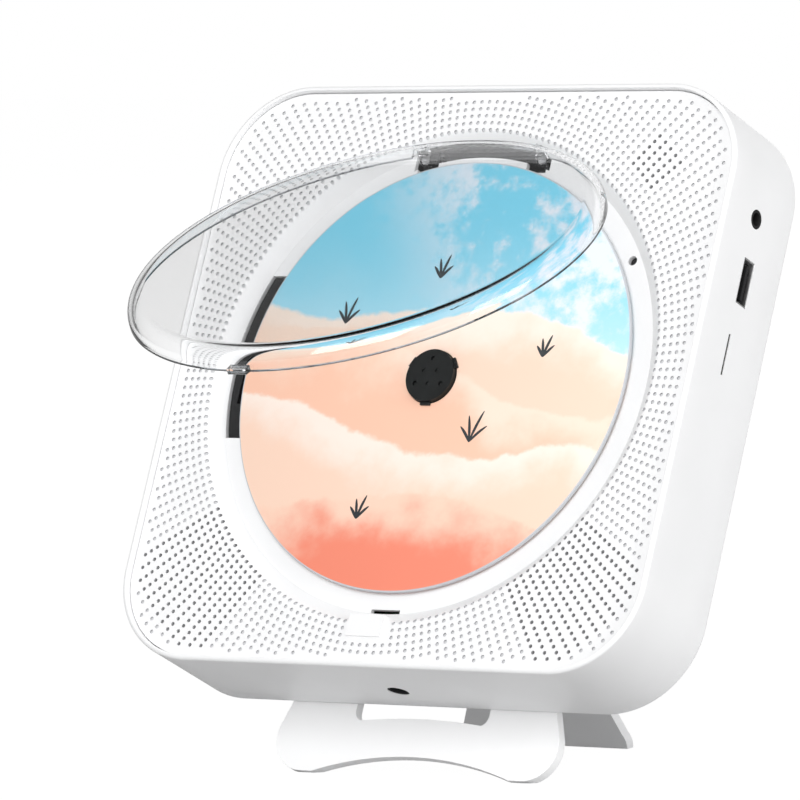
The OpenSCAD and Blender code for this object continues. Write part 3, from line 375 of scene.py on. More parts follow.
FINISHES = {
    "shell_white": moulded("shell_white", (0.86, 0.862, 0.868), 0.42, relief_mm=0.006, mottle=0.012),
    # painted light: the stand's white is paler than the body's, making up for the shade under the body
    "stand_white_painted_lit": moulded("stand_white_painted_lit", (0.92, 0.922, 0.926), 0.42, relief_mm=0.006, mottle=0.01),
    "cover_white": moulded("cover_white", (0.84, 0.84, 0.845), 0.5, relief_mm=0.014, mottle=0.015),
    "leg_grey": moulded("leg_grey", (0.84, 0.842, 0.85), 0.5, relief_mm=0.014, mottle=0.02),
    "hub_black": moulded("hub_black", (0.010, 0.011, 0.011), 0.5, 0.25, 0.02, 0.1,
                         **{"Specular IOR Level": 0.3}),
    "deck_black": moulded("deck_black", (0.012, 0.012, 0.013), 0.55, 0.3, 0.02, 0.12),
    "part_black": moulded("part_black", (0.02, 0.02, 0.021), 0.6, 0.3, 0.02, 0.1,
                          **{"Specular IOR Level": 0.25}),
    "damper_rubber": moulded("damper_rubber", (0.05, 0.05, 0.052), 0.8, 0.5, 0.03, 0.15),
    "gear_ivory": moulded("gear_ivory", (0.80, 0.77, 0.68), 0.35, 0.4, 0.008, 0.03),
    "cone_grey": moulded("cone_grey", (0.07, 0.07, 0.075), 0.75, 0.6, 0.05, 0.15),
    "steel": metal("steel", (0.62, 0.62, 0.63), 0.22, (1.0, 0.08, 0.08)),
    "motor_can": metal("motor_can", (0.66, 0.66, 0.66), 0.3, (0.15, 1.0, 0.15)),
    "magnet_steel": metal("magnet_steel", (0.45, 0.45, 0.46), 0.4, (0.3, 1.0, 0.3)),
    "cloth_black": woven("cloth_black", (0.018, 0.018, 0.019), 2.2),
}


def board_finish():
    """Circuit board: solder mask over copper tracks, told apart by stepped noise."""
    finish = Finish("board_green", IOR=1.5)
    split = finish.node("ShaderNodeSeparateXYZ", {}, {0: finish.spot()})
    across = finish.number(split, 0) * 420
    along = finish.number(split, 2) * 420
    waver = finish.noise(70, 1)
    track = ((across + waver * 9).part() - 0.5).size().ramp(0.30, 0.36)
    cross = ((along + waver * 5).part() - 0.5).size().ramp(0.38, 0.44)
    copper = track.most(cross)
    finish.feed(Base_Color=finish.blend(copper, (0.012, 0.10, 0.035), (0.02, 0.17, 0.06)),
                Roughness=0.42 - copper * 0.1)
    finish.bump(copper, 0.03)
    return finish.material


def lens_finish():
    """Coated glass: the coating's reflection is painted into its colour, blue-violet at a glance and
    darker head-on, told by the facing angle.
    """
    finish = Finish("lens_glass", IOR=1.6, **{"Coat Weight": 0.6, "Coat Roughness": 0.03})
    facing = finish.number(finish.node("ShaderNodeLayerWeight", {}, {"Blend": 0.4}), "Facing")
    dust = finish.noise(4000, 2)
    # painted reflection: the colour turns from dark blue to violet as the surface turns edge-on
    finish.feed(Base_Color=finish.blend(facing, (0.02, 0.02, 0.09), (0.25, 0.16, 0.42)),
                Roughness=0.04 + dust * 0.05)
    return finish.material


FINISHES["board_green"] = board_finish()
FINISHES["lens_glass"] = lens_finish()
print("finishes:", sorted(FINISHES))

# %% [markdown]
# ## Finishes for the CAD nodes that stay
# Most hidden parts keep their CAD shape. Each takes the finish of its slot in the record,
# apart from the stand, whose white is painted paler than the body's: painted light that makes
# up for the shade the body casts on it. We list who wears what, and look it up by node
# name; a node that isn't listed is black plastic.

# %% Dress the CAD nodes
WORN_BY = {
    "shell_white": "housing well_floor display_window",
    "stand_white_painted_lit": "stand_plate",
    "cover_white": "rear_cover button_mode button_previous button_play button_next button_volume",
    "leg_grey": "rear_leg",
    "hub_black": "turntable hub_claw_1 hub_claw_2 hub_claw_3",
    "deck_black": "mech_deck",
    "cloth_black": "grille_cloths",
    "damper_rubber": "deck_dampers",
    "lens_glass": "pickup_lens",
    "gear_ivory": "drive_gear sled_pinion",
    "board_green": "main_board port_board button_board display_board",
    "motor_can": "sled_motor spindle_motor",
    "cone_grey": "speaker_cone_left speaker_cone_right",
    "magnet_steel": "speaker_magnet_left speaker_magnet_right",
    "steel": "spindle_shaft guide_rods deck_screws board_screws rear_screws lid_hinge_pins leg_pin",
}
FINISH_OF = {node: finish for finish, nodes in WORN_BY.items() for node in nodes.split()}
for node_name, node in frame["nodes"].items():
    finish = FINISHES[FINISH_OF.get(node_name, "part_black")]
    for slot in node.material_slots:
        slot.material = finish
print("dressed", len(frame["nodes"]), "nodes")

# %% [markdown]
# ## Softened edges
# Real mouldings have no knife edges. For the plain CAD parts that show, we copy the mesh,
# weld its triangles together, and bevel every edge sharper than 30 degrees by a fraction of
# a millimetre. The copy rides on the same body and stands for the CAD node.

# %% Bevelled copies of CAD nodes
def keep_modifiers(made):
    """Makes what the modifiers give the piece's own mesh."""
    depsgraph = bpy.context.evaluated_depsgraph_get()
    made.data = bpy.data.meshes.new_from_object(made.evaluated_get(depsgraph))
    made.modifiers.clear()


def softened(node_name, body, width_mm, finish):
    """A copy of a CAD node with its sharp edges rounded by this width."""
    node = frame["nodes"][node_name]
    mesh = node.data.copy()
    mesh.name = node_name + "_soft"
    made = bpy.data.objects.new(node_name + "_soft", mesh)
    made.matrix_world = node.matrix_world.copy()
    bpy.context.scene.collection.objects.link(made)
    weld = made.modifiers.new("weld", "WELD")
    weld.merge_threshold = 1e-5
    flat = made.modifiers.new("flat", "DECIMATE")
    flat.decimate_type, flat.angle_limit = "DISSOLVE", math.radians(0.5)
    soft = made.modifiers.new("soft", "BEVEL")
    soft.width, soft.segments, soft.limit_method = width_mm / 1000, 2, "ANGLE"
    soft.angle_limit, soft.use_clamp_overlap = math.radians(30), True
    keep_modifiers(made)
    shade_smooth(made.data, 40)
    even = made.modifiers.new("even", "WEIGHTED_NORMAL")
    even.keep_sharp, even.weight = True, 100
    keep_modifiers(made)
    made.data.materials.clear()
    made.data.materials.append(finish)
    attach(made, body)
    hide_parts(node_name)
    print(made.name, len(made.data.polygons), "faces")
    return made


softened("stand_plate", "stand", 0.5, FINISHES["stand_white_painted_lit"])
softened("rear_leg", "leg", 0.5, FINISHES["leg_grey"])
softened("rear_cover", "player", 0.4, FINISHES["cover_white"])

# %% [markdown]
# ## The perforated front
# The front panel is one thin moulding: a flat rounded square that slopes down, like a shallow
# funnel, to the disc's well. Some nineteen hundred dimples and holes cover it, on rings 2 mm
# apart and spokes 1.8 degrees apart. Cutting each with a boolean would be slow and ragged.
# Instead one cell, a patch with a round hole, is worked out once and repeated over the whole polar
# grid as an array; the cells share their border points, so the weld makes one closed skin.
# Where sound comes out, the hole goes right through to the black cloth.

# %% Sizes of the front panel
PANEL_HALF, PANEL_CORNER, PANEL_T = 80.1, 23.35, 2.0
MOUTH_R, SLOPE_R, WELL_DEPTH = 65.4, 69.3, 4.0
SPOKES, RING_PITCH, HOLE_R, DIMPLE_T = 200, 2.0, 0.55, 0.55
RING_EDGES = np.concatenate([[MOUTH_R], MOUTH_R + 1.0 + RING_PITCH * np.arange(20)])
HINGE_Y, HINGE_Z, SLOT_X, SLOT_R = 5.5, 62.0, 21.4, 66.96
BACK_R, FOOT_SOFT, FOOT_SINK, BEZEL_GAP, MARGIN = 66.9, 0.35, 0.012, 0.25, 1.8
FIRST_DIMPLE_R, FIRST_OPEN_R = 68, 71.4
WINDOW_AT, WINDOW_HALF = (-1.9, -70), (6.6, 4.2)


def panel_edge(angle):
    """Distance from the centre to the rounded square's edge, along each angle."""
    c, s = np.abs(np.cos(angle)), np.abs(np.sin(angle))
    straight = PANEL_HALF / np.maximum(c, s)
    core = PANEL_HALF - PANEL_CORNER
    along = core * (c + s)
    round_r = along + np.sqrt(np.maximum(along ** 2 - 2 * core ** 2 + PANEL_CORNER ** 2, 0))
    return np.where(np.minimum(c, s) * straight <= core, straight, round_r)


def front_depth(x, z):
    """How deep the front face lies: the slope's line met softly with the flat face."""
    r = np.hypot(x, z)
    line = WELL_DEPTH * (SLOPE_R - r) / (SLOPE_R - MOUTH_R)
    return np.minimum(0.5 * (line + np.sqrt(line ** 2 + FOOT_SOFT ** 2)) - FOOT_SINK, WELL_DEPTH)


def skins(plane):
    """Front and back points over the same plan point: the back is 2 mm behind, or less on the slope.

    Beside the hinge the slope stops at SLOT_R, which leaves the slot the lid swings into.
    """
    r = np.hypot(plane[..., 0], plane[..., 1])
    at_slot = (np.abs(plane[..., 0]) < SLOT_X) & (plane[..., 1] > 0) & (r < SLOT_R)
    plane = plane * np.where(at_slot, SLOT_R / r, 1.0)[..., None]
    x, z = plane[..., 0], plane[..., 1]
    r = np.hypot(x, z)
    front = np.stack([x, front_depth(x, z), z], axis=-1)
    up_slope = (r - MOUTH_R) / (SLOPE_R - MOUTH_R)
    wider = np.where(r < SLOPE_R, (BACK_R + up_slope * (SLOPE_R - BACK_R)) / r, 1.0)
    deep = np.where(r < SLOPE_R, WELL_DEPTH - up_slope * (WELL_DEPTH - PANEL_T), PANEL_T)
    return front, np.stack([x * wider, deep, z * wider], axis=-1)


print("panel edge at 0 and 45 degrees:", panel_edge(np.radians([0, 45])).round(2))

# %% Build the perforated front
step = 2 * math.pi / SPOKES
spoke = np.arange(SPOKES) * step
ring_mid = (RING_EDGES[1:] + RING_EDGES[:-1]) / 2
ring_half = (RING_EDGES[1:] - RING_EDGES[:-1]) / 2
third = np.array([-1, -1 / 3, 1 / 3])
border_u = np.concatenate([third, [1, 1, 1], -third, [-1, -1, -1]])
border_v = np.concatenate([[-1, -1, -1], third, [1, 1, 1], -third])
rim_angle = np.radians(-135 + 30 * np.arange(12))
angle, radius = np.meshgrid(spoke, ring_mid, indexing="ij")
_, half = np.meshgrid(spoke, ring_half, indexing="ij")
border_a = angle[..., None] + border_u * step / 2
border_r = np.minimum(radius[..., None] + border_v * half[..., None], panel_edge(border_a))
inside = (panel_edge(border_a) - (radius - half)[..., None]).max(axis=-1) > 1e-6
border = np.stack([border_r * np.cos(border_a), border_r * np.sin(border_a)], axis=-1)
middle = border.mean(axis=2)
in_slot = (np.abs(border[..., 0]) < SLOT_X) & (border[..., 1] > 0) & (border_r < SLOT_R)
inside &= ~in_slot.all(axis=-1)
hole_x, hole_z = radius * np.cos(angle), radius * np.sin(angle)
reach = PANEL_HALF + BEZEL_GAP - MARGIN
soft_r = PANEL_CORNER + BEZEL_GAP - MARGIN
over_x = np.maximum(np.abs(hole_x) - reach + soft_r, 0)
over_z = np.maximum(np.abs(hole_z) - reach + soft_r, 0)
holed = (over_x ** 2 + over_z ** 2 <= soft_r ** 2) & (half > 0.9)
holed &= ~((np.abs(hole_x - WINDOW_AT[0]) < WINDOW_HALF[0])
           & (np.abs(hole_z - WINDOW_AT[1]) < WINDOW_HALF[1]))
holed &= radius > FIRST_DIMPLE_R


def sector(mid, count, first, last):
    """The cells within count spokes about the middle angle, on rings first to last."""
    away = np.abs((angle - math.radians(mid) + math.pi) % (2 * math.pi) - math.pi)
    near = away <= (count / 2) * step + 1e-6
    ring = np.round((radius - FIRST_OPEN_R) / RING_PITCH)
    return near & (ring >= first) & (ring <= last)


open_hole = holed & (sector(-45, 13, -1, 13) | sector(-135, 13, -1, 13) | sector(46.8, 5, 3, 8))
rim_r = radius[..., None] + HOLE_R * np.sin(rim_angle)
rim_t = HOLE_R * np.cos(rim_angle)
cos_a, sin_a = np.cos(angle)[..., None], np.sin(angle)[..., None]
rim = np.stack([rim_r * cos_a - rim_t * sin_a, rim_r * sin_a + rim_t * cos_a], axis=-1)
border_front, border_back = skins(border)
rim_front, rim_back = skins(rim)
mid_front, mid_back = skins(middle)
slope = -np.gradient(front_depth(np.linspace(60, 110, 501), np.zeros(501)), 0.1)
tilt = np.interp(radius, np.linspace(60, 110, 501), slope)
sink = np.stack([tilt * np.cos(angle), np.ones_like(tilt), tilt * np.sin(angle)], axis=-1)
sink *= DIMPLE_T / np.linalg.norm(sink, axis=-1, keepdims=True)
rim_deep = rim_front + sink[:, :, None]
mid_deep = rim_deep.mean(axis=2)


def bands(a, b):
    """Quads between two loops of twelve points each, for an array of cells."""
    return np.stack([a, np.roll(a, -1, axis=1), np.roll(b, -1, axis=1), b], axis=2)


def fans(loop, middle):
    """Quads with a doubled corner from each loop's edges to its middle point."""
    m = np.repeat(middle[:, None], 12, axis=1)
    return np.stack([loop, np.roll(loop, -1, axis=1), m, m], axis=2)


flat, blind, pierced = inside & ~holed, inside & holed & ~open_hole, inside & open_hole
with_hole = inside & holed
# Faces tagged 1, the dimples' walls and bottoms and the holes' walls, are painted grey as shade by the
# grille's finish.
skin = [
    (bands(border_front[with_hole], rim_front[with_hole]), 0),
    (fans(border_front[flat], mid_front[flat]), 0),
    (bands(rim_front[blind], rim_deep[blind]), 1),
    (fans(rim_deep[blind], mid_deep[blind]), 1),
    (bands(rim_front[pierced], rim_back[pierced]), 1),
    (bands(rim_back[pierced], border_back[pierced]), 0),
    (fans(border_back[inside & ~pierced], mid_back[inside & ~pierced])[:, :, ::-1], 0),
]
all_angles = np.arange(SPOKES * 3) * step / 3 + step / 6
lip = np.stack([np.cos(all_angles), np.sin(all_angles)], axis=-1)
for ring_r, facing in ((panel_edge(all_angles)[:, None], -1), (MOUTH_R, 1)):
    edge_front, edge_back = skins(lip * ring_r)
    skin.append((bands(edge_back[None], edge_front[None])[:, :, ::facing], 0))
print("holes:", int(with_hole.sum()), "open:", int(pierced.sum()))

# %% Weld the cells into one panel
panel_points = np.concatenate([part.reshape(-1, 3) for part, _ in skin])
panel_quads = np.arange(len(panel_points)).reshape(-1, 4)
recess_shade_tag = np.concatenate([np.full(part.size // 12, value, float) for part, value in skin])


def grille_finish():
    """White plastic whose dimples and hole walls, marked by the face attribute, are painted grey as
    painted shade in the recesses.
    """
    finish = Finish("grille_white", IOR=1.46)
    clouds = finish.noise(38, 3)
    grain = finish.noise(2600, 2, 0.6)
    recess_shade = finish.number(finish.node("ShaderNodeAttribute", {"attribute_name": "tag"}, {}), "Fac")
    white = finish.blend(clouds.ramp(0.3, 0.7), (0.85, 0.852, 0.858), (0.87, 0.872, 0.878))
    # painted shade: the tagged recess faces are coloured grey
    finish.feed(Base_Color=finish.blend(recess_shade, white, (0.62, 0.625, 0.635)),
                Roughness=0.38 + grain * 0.08 + recess_shade * 0.2)
    finish.bump(grain, 0.006)
    return finish.material


grille = piece("perforated_front", *outward(panel_points, panel_quads), grille_finish(),
               tag=recess_shade_tag)
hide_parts("front_panel")

# %% [markdown]
# ## Outlines carried round a rounded rectangle
# The shell, the lid's arms and the bars that cut the openings are all one idea: a profile
# carried round a rounded rectangle. Each profile point says how far in from the outline it
# lies and how deep, and a closed loop of such points gives a closed ring without any caps.

# %% Profile along a rounded rectangle
def rounded_loop(half_x, half_z, corner, inset, corner_steps=16, side_steps=6):
    """Points (x, z) of a rounded rectangle drawn in by each inset, as an array inset x point."""
    inset = np.asarray(inset, float)[:, None]
    turn_a = np.linspace(0, math.pi / 2, corner_steps + 1)
    quarter = np.arange(4)[:, None] * math.pi / 2 + turn_a[None]
    sign_x = np.array([1, -1, -1, 1])[:, None] * np.ones_like(turn_a)
    sign_z = np.array([1, 1, -1, -1])[:, None] * np.ones_like(turn_a)
    quarter, sign_x, sign_z = quarter.ravel(), sign_x.ravel(), sign_z.ravel()
    centre = np.maximum(corner, inset)
    left = np.maximum(corner - inset, 0)
    x = sign_x * (half_x - centre) + left * np.cos(quarter)
    z = sign_z * (half_z - centre) + left * np.sin(quarter)
    points = np.stack([x, z], axis=-1)
    after = np.roll(points, -1, axis=1)
    last = np.zeros(points.shape[1], bool)
    last[corner_steps::corner_steps + 1] = True
    share = np.linspace(0, 1, side_steps + 1)[:-1]
    spread = points[:, :, None] + (after - points)[:, :, None] * share[None, None, :, None]
    keep = np.ones((points.shape[1], side_steps), bool)
    keep[:, 1:] = last[:, None]
    return spread.reshape(len(inset), -1, 2)[:, keep.ravel()]


def carried(profile, half_x, half_z, corner, centre=(0, 0), closed=True, **steps):
    """The profile's (inset, depth) points carried round the outline: (points, quads)."""
    profile = np.asarray(profile, float)
    loops = rounded_loop(half_x, half_z, corner, profile[:, 0], **steps)
    depth = np.broadcast_to(profile[:, 1][:, None], loops.shape[:2])
    points = np.stack([loops[..., 0] + centre[0], depth, loops[..., 1] + centre[1]], axis=-1)
    return points.reshape(-1, 3), grid(len(profile), loops.shape[1], close_rows=closed,
                                       close_columns=True)


def arc(centre_inset, centre_depth, radius, start, stop, count=7):
    """Profile points of an arc; degrees, 0 towards more inset and 90 towards more depth."""
    a = np.radians(np.linspace(start, stop, count))
    return [(centre_inset + radius * math.cos(t), centre_depth + radius * math.sin(t)) for t in a]


def slab(half_x, half_z, corner, front, rear, edge, centre=(0, 0), **steps):
    """A plate with a rounded front edge, closed by drawing its front and back in to the middle."""
    middle = min(half_x, half_z)
    profile = ([(middle, front), (middle * 0.5, front)] + arc(edge, front + edge, edge, -90, -180)
               + [(0.0, rear), (middle, rear)])
    return carried(profile, half_x, half_z, corner, centre, closed=False, **steps)


# %% [markdown]
# ## The outer shell
# The shell is a moulded frame 2.2 mm thick. Its front lip stands a little proud of the
# grille and is almost fully rounded, which gives the bright line round the panel. We carry
# its section round the body, then cut the sockets' and buttons' openings with one boolean,
# because these few holes cross the wall where the section stays the same.

# %% Shell section and openings
BODY_HALF, BODY_CORNER, BODY_DEPTH, LIP_RISE, LIP_W, WALL = 81.75, 25.0, 31.0, 1.8, 1.4, 2.2
section = ([(LIP_W, PANEL_T), (LIP_W, -LIP_RISE + 0.3)]
           + arc(1.1, -LIP_RISE + 0.3, 0.3, 0, -90, 4)[1:]
           + arc(1.1, -LIP_RISE + 1.1, 1.1, -90, -180, 9)[1:]
           + [(0.0, 6.0), (0.0, 14.0), (0.0, 22.0)]
           + arc(1.1, BODY_DEPTH - 1.1, 1.1, 180, 90, 9)
           + [(WALL, BODY_DEPTH), (WALL, PANEL_T)])
shell_points, shell_quads = carried(section, BODY_HALF, BODY_HALF, BODY_CORNER, corner_steps=28)


def stadium(across, length, axis, at, reach):
    """A bar whose section is two half circles and straight sides, run along x or z."""
    turn_a = np.radians(np.arange(0, 360, 10))
    far = np.sign(np.sin(turn_a + 1e-9)) * (length - across) / 2
    u, v = across / 2 * np.cos(turn_a), across / 2 * np.sin(turn_a) + far
    ends = np.array([-reach, -reach, reach, reach])[:, None]
    shrink = np.array([0.0, 1.0, 1.0, 0.0])[:, None]
    u, v = u[None] * shrink, v[None] * shrink
    run = np.broadcast_to(ends, u.shape)
    xyz = (run, at[1] + u, at[2] + v) if axis == "x" else (at[0] + v, at[1] + u, run)
    points = np.stack(np.broadcast_arrays(*xyz), axis=-1)
    points[..., 0] += at[0] if axis == "x" else 0
    points[..., 2] += at[2] if axis == "z" else 0
    return points, grid(4, len(turn_a), close_columns=True)


def straight_bar(width, height, at, reach):
    """A bar of rectangular section along x, with 0.3 mm rounded corners."""
    points, faces = slab(width / 2, height / 2, 0.3, -reach, reach, 0.0,
                         corner_steps=3, side_steps=1)
    return np.stack([points[:, 1] + at[0], points[:, 0] + at[1], points[:, 2] + at[2]],
                    axis=-1), faces


AUX, USB, CARD, POWER = (81.75, 13.4, 49.3), (81.75, 14.5, 32.0), (81.75, 12.6, 11.4), (0, 18.2, -81.75)
BUTTON_Z = -2 + 11.0 * np.arange(5)
cutters = [stadium(5.2, 5.2, "x", AUX, 4), straight_bar(5.3, 12.6, USB, 4),
           straight_bar(1.0, 11.4, CARD, 4), stadium(6.0, 6.0, "z", POWER, 4)]
cutters += [stadium(4.4, 7.4, "x", (-81.75, 14.0, z), 4) for z in BUTTON_Z]
shell = piece("outer_shell", *outward(shell_points, shell_quads), FINISHES["shell_white"])
cutters = [outward(*part) for part in cutters]
cutter = piece("opening_cutter", *joined(*cutters), FINISHES["shell_white"], body=None)
print("openings:", len(cutters))

# %% [markdown]
# A boolean can leave a shape inside out or open if its faces point the wrong way, so we
# measure the shell's volume before and after: the cut may only take a little away.

# %% Cut the openings
def volume(mesh):
    """Sum of the signed tetrahedra under the triangles, in cubic centimetres."""
    mesh.calc_loop_triangles()
    index = np.zeros(len(mesh.loop_triangles) * 3, np.int32)
    mesh.loop_triangles.foreach_get("vertices", index)
    co = np.zeros(len(mesh.vertices) * 3)
    mesh.vertices.foreach_get("co", co)
    a, b, c = np.moveaxis(co.reshape(-1, 3)[index.reshape(-1, 3)], 1, 0)
    return float((a * np.cross(b, c)).sum() / 6 * 1e6)


before = volume(shell.data)
cut = shell.modifiers.new("openings", "BOOLEAN")
cut.operation, cut.solver, cut.object = "DIFFERENCE", "EXACT", cutter
keep_modifiers(shell)
shade_smooth(shell.data, CREASE)
bpy.data.objects.remove(cutter)
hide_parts("housing")
print("shell volume before and after the cut (cm3):", round(before, 2), round(volume(shell.data), 2))

# %% [markdown]
# ## Inside the sockets
# In the wall's openings one looks at the sockets' own dark mouths. The round ones get a
# short black tube, the card slot a black slip, and the wide one a steel frame with a black
# tongue, each set a little behind the wall's face.

# %% Socket mouths
def tube(outer_r, inner_r, near, far, at, axis):
    """A ring of these radii between two distances from the wall's face, along x or z."""
    ring = np.array([(outer_r, near), (outer_r, far), (inner_r, far), (inner_r, near + 0.3),
                     (inner_r + 0.3, near)])
    a = np.radians(np.arange(0, 360, 10))
    u, v = ring[:, 0] * np.cos(a)[:, None], ring[:, 0] * np.sin(a)[:, None]
    run = np.broadcast_to(ring[:, 1], u.shape)
    xyz = (at[0] - run, at[1] + u, at[2] + v) if axis == "x" else (at[0] + v, at[1] + u, at[2] + run)
    return np.stack(xyz, axis=-1), grid(len(a), len(ring), close_rows=True, close_columns=True)


def steel_frame(width, height, wall, near, far, at):
    """A rectangular tube along x with soft corners."""
    ring = [(0.0, near), (0.0, far), (wall, far), (wall, near)]
    points, faces = carried(ring, width / 2, height / 2, 0.5, corner_steps=4, side_steps=1)
    return np.stack([at[0] - points[:, 1], points[:, 0] + at[1], points[:, 2] + at[2]], axis=-1), faces


mouths = [tube(2.58, 1.8, 0.1, 2.3, AUX, "x"), tube(2.98, 2.5, 0.2, 2.3, POWER, "z"),
          straight_bar(0.98, 11.38, (CARD[0] - 1.3, *CARD[1:]), 1.0),
          straight_bar(5.0, 12.3, (USB[0] - 2.0, *USB[1:]), 0.2),
          straight_bar(1.1, 9.6, (USB[0] - 1.3, USB[1] + 0.5, USB[2]), 0.8)]
mouths = [outward(*part) for part in mouths]
piece("socket_mouths", *joined(*mouths), FINISHES["part_black"])
mouth_rim = outward(*steel_frame(5.26, 12.56, 0.45, 0.15, 2.2, USB))
piece("usb_frame", *mouth_rim, FINISHES["motor_can"])

# %% [markdown]
# ## The clear lid
# The lid is a shallow dome of clear plastic, hinged at the top and standing open. Its look
# comes mostly from its real wall: the rim and the shoulder bend what lies behind them, and gather
# it into the dark and pale lines seen in the photograph. The rim's dark lines are also painted
# into its colour, as painted shade. So the lid is turned like a pot, with an outer and an inner
# profile, and gets a true refraction instead of transparency.

# %% Lid profile turned about the disc's axis
LID_R, LID_ROUND, LID_T, LID_FACE, LID_EDGE, LID_OPEN = 64.0, 5.0, 1.6, -2.3, 3.7, 42.0
TRIMMED_EDGE, LIP, FLAT_R, ROUND_STEPS = 0.9, 0.25, 30, 15
EAR_X, EAR_HALF, EAR_R, ARM_Z = 18.5, 1.3, 1.9, 60.8
PEG_X, PEG_Z, CATCH_Z = 52.99, 33.89, -63.8


def opened(points):
    """Swings points about the hinge line: y' = y cos + z sin, z' = z cos - y sin."""
    a = math.radians(LID_OPEN)
    y, z = points[..., 1] - HINGE_Y, points[..., 2] - HINGE_Z
    return np.stack([points[..., 0], HINGE_Y + y * math.cos(a) + z * math.sin(a),
                     HINGE_Z - y * math.sin(a) + z * math.cos(a)], axis=-1)


def lid_profile(edge):
    """(radius, depth) round the wall; edge is the skirt's depth at each angle."""
    a = np.radians(np.linspace(0, 90, ROUND_STEPS))
    shoulder = LID_R - LID_ROUND
    outer = [(0, LID_FACE), (FLAT_R, LID_FACE)] + [
        (shoulder + LID_ROUND * math.sin(t), LID_FACE + LID_ROUND * (1 - math.cos(t))) for t in a]
    thin = LID_ROUND - LID_T
    inner = [(shoulder + thin * math.sin(t), LID_FACE + LID_T + thin * (1 - math.cos(t)))
             for t in a[::-1]] + [(FLAT_R, LID_FACE + LID_T), (0, LID_FACE + LID_T)]
    edge = edge[:, None]
    lips = [(LID_R, edge - LIP), (LID_R - LIP, edge), (LID_R - LID_T + LIP, edge),
            (LID_R - LID_T, edge - LIP)]
    rows = [np.broadcast_to(np.array(p, float), (len(edge), 2)) for p in outer]
    rows += [np.concatenate([np.full_like(edge, r), d], axis=1) for r, d in lips]
    rows += [np.broadcast_to(np.array(p, float), (len(edge), 2)) for p in inner]
    return np.stack(rows, axis=1)


turns = np.radians(np.arange(0, 360, 1.0))
near_hinge = (np.abs(np.cos(turns)) * LID_R < SLOT_X) & (np.sin(turns) > 0)
edge_depth = np.where(near_hinge, TRIMMED_EDGE, LID_EDGE)
wall = lid_profile(edge_depth)
lid_points = np.stack([wall[..., 0] * np.cos(turns)[:, None], wall[..., 1],
                       wall[..., 0] * np.sin(turns)[:, None]], axis=-1)
lid_quads = grid(len(turns), wall.shape[1], close_rows=True)


def round_bar(axis, start, end, side, z, radius, count=20):
    """A bar of radius r along x or y with closed ends: side + r cos and z + r sin round it."""
    a = np.radians(np.arange(count) * 360 / count)
    run = np.array([start, start, end, end])[:, None]
    size = np.array([0, radius, radius, 0])[:, None]
    ring = [run, side + size * np.cos(a), z + size * np.sin(a)]
    if axis == "y":
        ring[:2] = ring[1::-1]
    return np.stack(np.broadcast_arrays(*ring), axis=-1), grid(4, count, close_columns=True)


def clear_finish():
    """Clear plastic: refraction, with faint wiping marks in its roughness. Rays from the lamps
    and between matt surfaces pass straight, so that what lies below the lid isn't in its dark.
    Where the wall is seen edge-on, and on the skirt's bottom edge, its colour is painted dark:
    painted shade that draws the rim's dark lines."""
    finish = Finish("lid_clear", IOR=1.42, **{"Transmission Weight": 1.0})
    marks = finish.noise(120, 3, stretch=(1.0, 1.0, 0.3))
    edge = finish.number(finish.node("ShaderNodeAttribute", {"attribute_name": "tag"}, {}), "Fac")
    facing = finish.number(finish.node("ShaderNodeLayerWeight", {}, {"Blend": 0.5}), "Facing")
    # painted shade: the skirt's bottom edge and the wall seen edge-on are coloured dark grey
    dark = edge.most(facing.ramp(0.86, 1.0))
    finish.feed(Base_Color=finish.blend(dark, (0.995, 0.997, 1.0), (0.30, 0.32, 0.34)),
                Roughness=0.005 + marks.ramp(0.45, 0.8) * 0.02)
    path = finish.node("ShaderNodeLightPath", {}, {})
    passing = finish.number(path, "Is Shadow Ray").most(finish.number(path, "Is Diffuse Ray"))
    straight = finish.node("ShaderNodeBsdfTransparent", {}, {"Color": (0.985, 0.988, 0.99)})
    finish.show_instead(passing, straight)
    return finish.material


FINISHES["lid_clear"] = clear_finish()
lid_parts = [(lid_points, lid_quads)]
for side in (-EAR_X, EAR_X):
    lid_parts.append(round_bar("x", side - EAR_HALF, side + EAR_HALF, HINGE_Y, HINGE_Z, EAR_R))
    lid_parts.append(slab(EAR_HALF, 1.6, 0.4, -0.6, HINGE_Y, 0.3, centre=(side, ARM_Z),
                          corner_steps=3))
lid_parts.append(round_bar("y", 1.0, 5.0, PEG_X, PEG_Z, 0.8))
lid_parts.append(slab(3.0, 1.4, 0.3, 2.1, LID_EDGE, 0.2, centre=(0, CATCH_Z), corner_steps=3))
strip = np.arange(len(lid_quads)) % (wall.shape[1] - 1)
# the skirt's bottom edge, which the lid's finish paints dark as painted shade
lip_painted_dark = (strip >= 2 + ROUND_STEPS) & (strip < 5 + ROUND_STEPS)
others = np.zeros(sum(len(faces) for _, faces in lid_parts[1:]))
all_points, all_faces = joined(*[outward(*part) for part in lid_parts])
lid = piece("clear_lid", opened(all_points), all_faces, FINISHES["lid_clear"], body="lid",
            tag=np.concatenate([lip_painted_dark, others]))
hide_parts("lid")

# %% [markdown]
# ## The disc
# A disc is 120 mm across and 1.2 mm thick, with a 15 mm hole, and a print covers nearly all
# of its face. The print here is a made-up design of soft painted bands in sky blue,
# cream and peach, with small tufts of grass. It is drawn in the disc's own UV, in which one
# unit is the disc's width, so that it turns with the disc.

# %% Disc body
DISC_R, DISC_HOLE_R, DISC_FRONT, DISC_BACK = 60.0, 7.5, 2.0, 3.2
disc_profile = np.array([(DISC_HOLE_R, 2.1), (DISC_HOLE_R + 0.1, DISC_FRONT), (DISC_R - 0.3, DISC_FRONT),
                         (DISC_R - 0.08, 2.08), (DISC_R, 2.3), (DISC_R, 2.9), (DISC_R - 0.08, 3.12),
                         (DISC_R - 0.3, DISC_BACK), (DISC_HOLE_R + 0.1, DISC_BACK), (DISC_HOLE_R, 3.1)])


